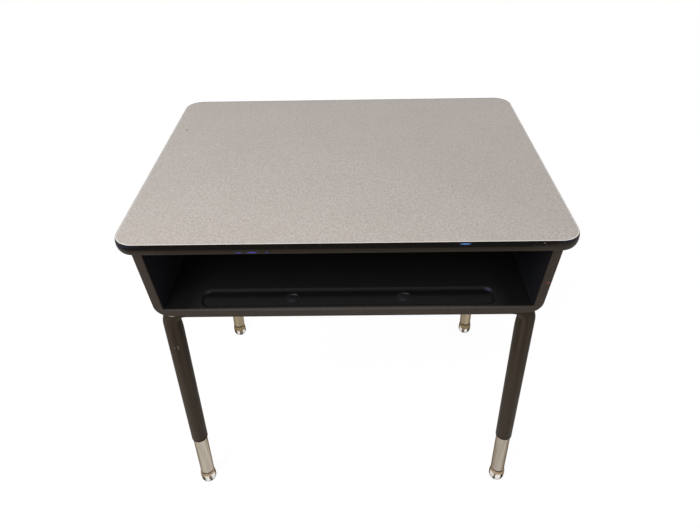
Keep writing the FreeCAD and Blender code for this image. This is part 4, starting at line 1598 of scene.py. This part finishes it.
@dataclass
class Studio:
    """Pale floor, soft light and the camera at the photograph's viewpoint.

    Attributes:
        picture_width: Width of the picture in pixels.
        focal: Focal length in pixels.
        eye: The camera's place in millimetres.
        pitch: How far it looks down, in degrees.
        yaw: How far it looks to the right, in degrees.
        roll: How far it leans, in degrees.
        sensor: Width of the sensor in millimetres.
        floor_half: Half the floor's side.
        ambient: Strength of the even light on the object.
        floor_glow: How far the floor looks white where no shadow falls.
        lamp_place: Where the soft box hangs.
        lamp_aim: The point that it lights.
        lamp_size: Side of the soft box.
        lamp_power: Its watts.
    """

    picture_width: float = 700.0
    focal: float = 550.48
    eye: Triple = (12.814, -785.388, 1024.8)
    pitch: float = 39.1688
    yaw: float = -0.8464
    roll: float = -1.1603
    sensor: float = 36.0
    floor_half: float = 9.0
    ambient: float = 0.64
    floor_glow: float = 0.9
    lamp_place: Triple = (-0.75, -1.2, 1.7)
    lamp_aim: Triple = (0.0, 0.0, 0.45)
    lamp_size: float = 0.9
    lamp_power: float = 14.9

    def build(self) -> None:
        """Sets the view, the world, the floor, the lamp and the camera."""
        bpy.context.scene.view_settings.view_transform = "Standard"
        self.world()
        self.floor()
        self.lamp()
        self.camera()

    def seen(self, tree: Tree) -> Node:
        """One where a camera, mirror or glass ray looks at the backdrop, and nought elsewhere.

        Args:
            tree: The backdrop's nodes.

        Returns:
            The node that carries it.
        """
        path = add(tree, "LightPath").outputs
        direct = add(tree, "Math", (path["Is Camera Ray"], path["Is Glossy Ray"]), operation="MAXIMUM")
        return add(tree, "Math", (direct, path["Is Transmission Ray"]), operation="MAXIMUM")

    def world(self) -> None:
        """White all round to look at, and a plain even light on the object."""
        world = bpy.data.worlds.new("studio")
        bpy.context.scene.world = world
        world.use_nodes = True
        tree = world.node_tree
        tree.nodes.clear()
        light = add(tree, "Background", ("#ffffff", self.ambient))
        look = add(tree, "Background", ("#ffffff", 1.0))
        pick = add(tree, "MixShader", (self.seen(tree), light, look))
        add(tree, "OutputWorld", {"Surface": pick})

    def floor(self) -> None:
        """A pale floor that looks white and keeps a soft shadow."""
        material = blank_material("pale_floor")
        tree = material.node_tree
        plain = add(tree, "BsdfDiffuse", ("#e8e8e8",))
        shade = add(tree, "BsdfDiffuse", ("#6e6e6e",))
        glow = add(tree, "Emission", ("#ffffff", self.floor_glow))
        look = add(tree, "AddShader", (shade, glow))
        pick = add(tree, "MixShader", (self.seen(tree), plain, look))
        add(tree, "OutputMaterial", {"Surface": pick})
        half = self.floor_half
        corners = [(-half, -half, 0), (half, -half, 0), (half, half, 0), (-half, half, 0)]
        mesh = bpy.data.meshes.new("floor")
        mesh.from_pydata(corners, [], [(0, 1, 2, 3)])
        mesh.materials.append(material)
        floor = bpy.data.objects.new("floor", mesh)
        bpy.context.scene.collection.objects.link(floor)

    def lamp(self) -> None:
        """A square soft box aimed at the middle of the desk."""
        data = bpy.data.lights.new("key_lamp", "AREA")
        data.size = self.lamp_size
        data.energy = self.lamp_power
        lamp = bpy.data.objects.new("key_lamp", data)
        lamp.location = self.lamp_place
        aim = Vector(self.lamp_aim) - Vector(self.lamp_place)
        lamp.rotation_euler = aim.to_track_quat("-Z", "Y").to_euler()
        bpy.context.scene.collection.objects.link(lamp)

    def camera(self) -> None:
        """The camera, from the viewpoint that was solved from the photograph."""
        pitch, yaw, roll = (math.radians(angle) for angle in (self.pitch, self.yaw, self.roll))
        level = Vector((math.sin(yaw), math.cos(yaw), 0.0))
        right = Vector((math.cos(yaw), -math.sin(yaw), 0.0))
        up = Vector((0.0, 0.0, 1.0))
        ahead = level * math.cos(pitch) - up * math.sin(pitch)
        over = level * math.sin(pitch) + up * math.cos(pitch)
        leaning_right = right * math.cos(roll) + over * math.sin(roll)
        leaning_up = over * math.cos(roll) - right * math.sin(roll)
        data = bpy.data.cameras.new("camera")
        data.sensor_fit = "HORIZONTAL"
        data.sensor_width = self.sensor
        data.lens = self.focal / self.picture_width * self.sensor
        camera = bpy.data.objects.new("camera", data)
        turn = Matrix((leaning_right, leaning_up, -ahead)).transposed()
        camera.matrix_world = Matrix.Translation(Vector(self.eye) * MM) @ turn.to_4x4()
        bpy.context.scene.collection.objects.link(camera)
        bpy.context.scene.camera = camera


def main() -> None:
    """Builds the desk's sub-assemblies in order, then the studio."""
    logging.basicConfig(level=logging.INFO, format="%(message)s")
    WorkTop().build()
    BookBox().build()
    LegFrames().build()
    for end in ENDS:
        for side in SIDES:
            Insert(end, side).build()
            Glide(end, side).build()
    Studio().build()


if __name__ == "__main__":
    main()
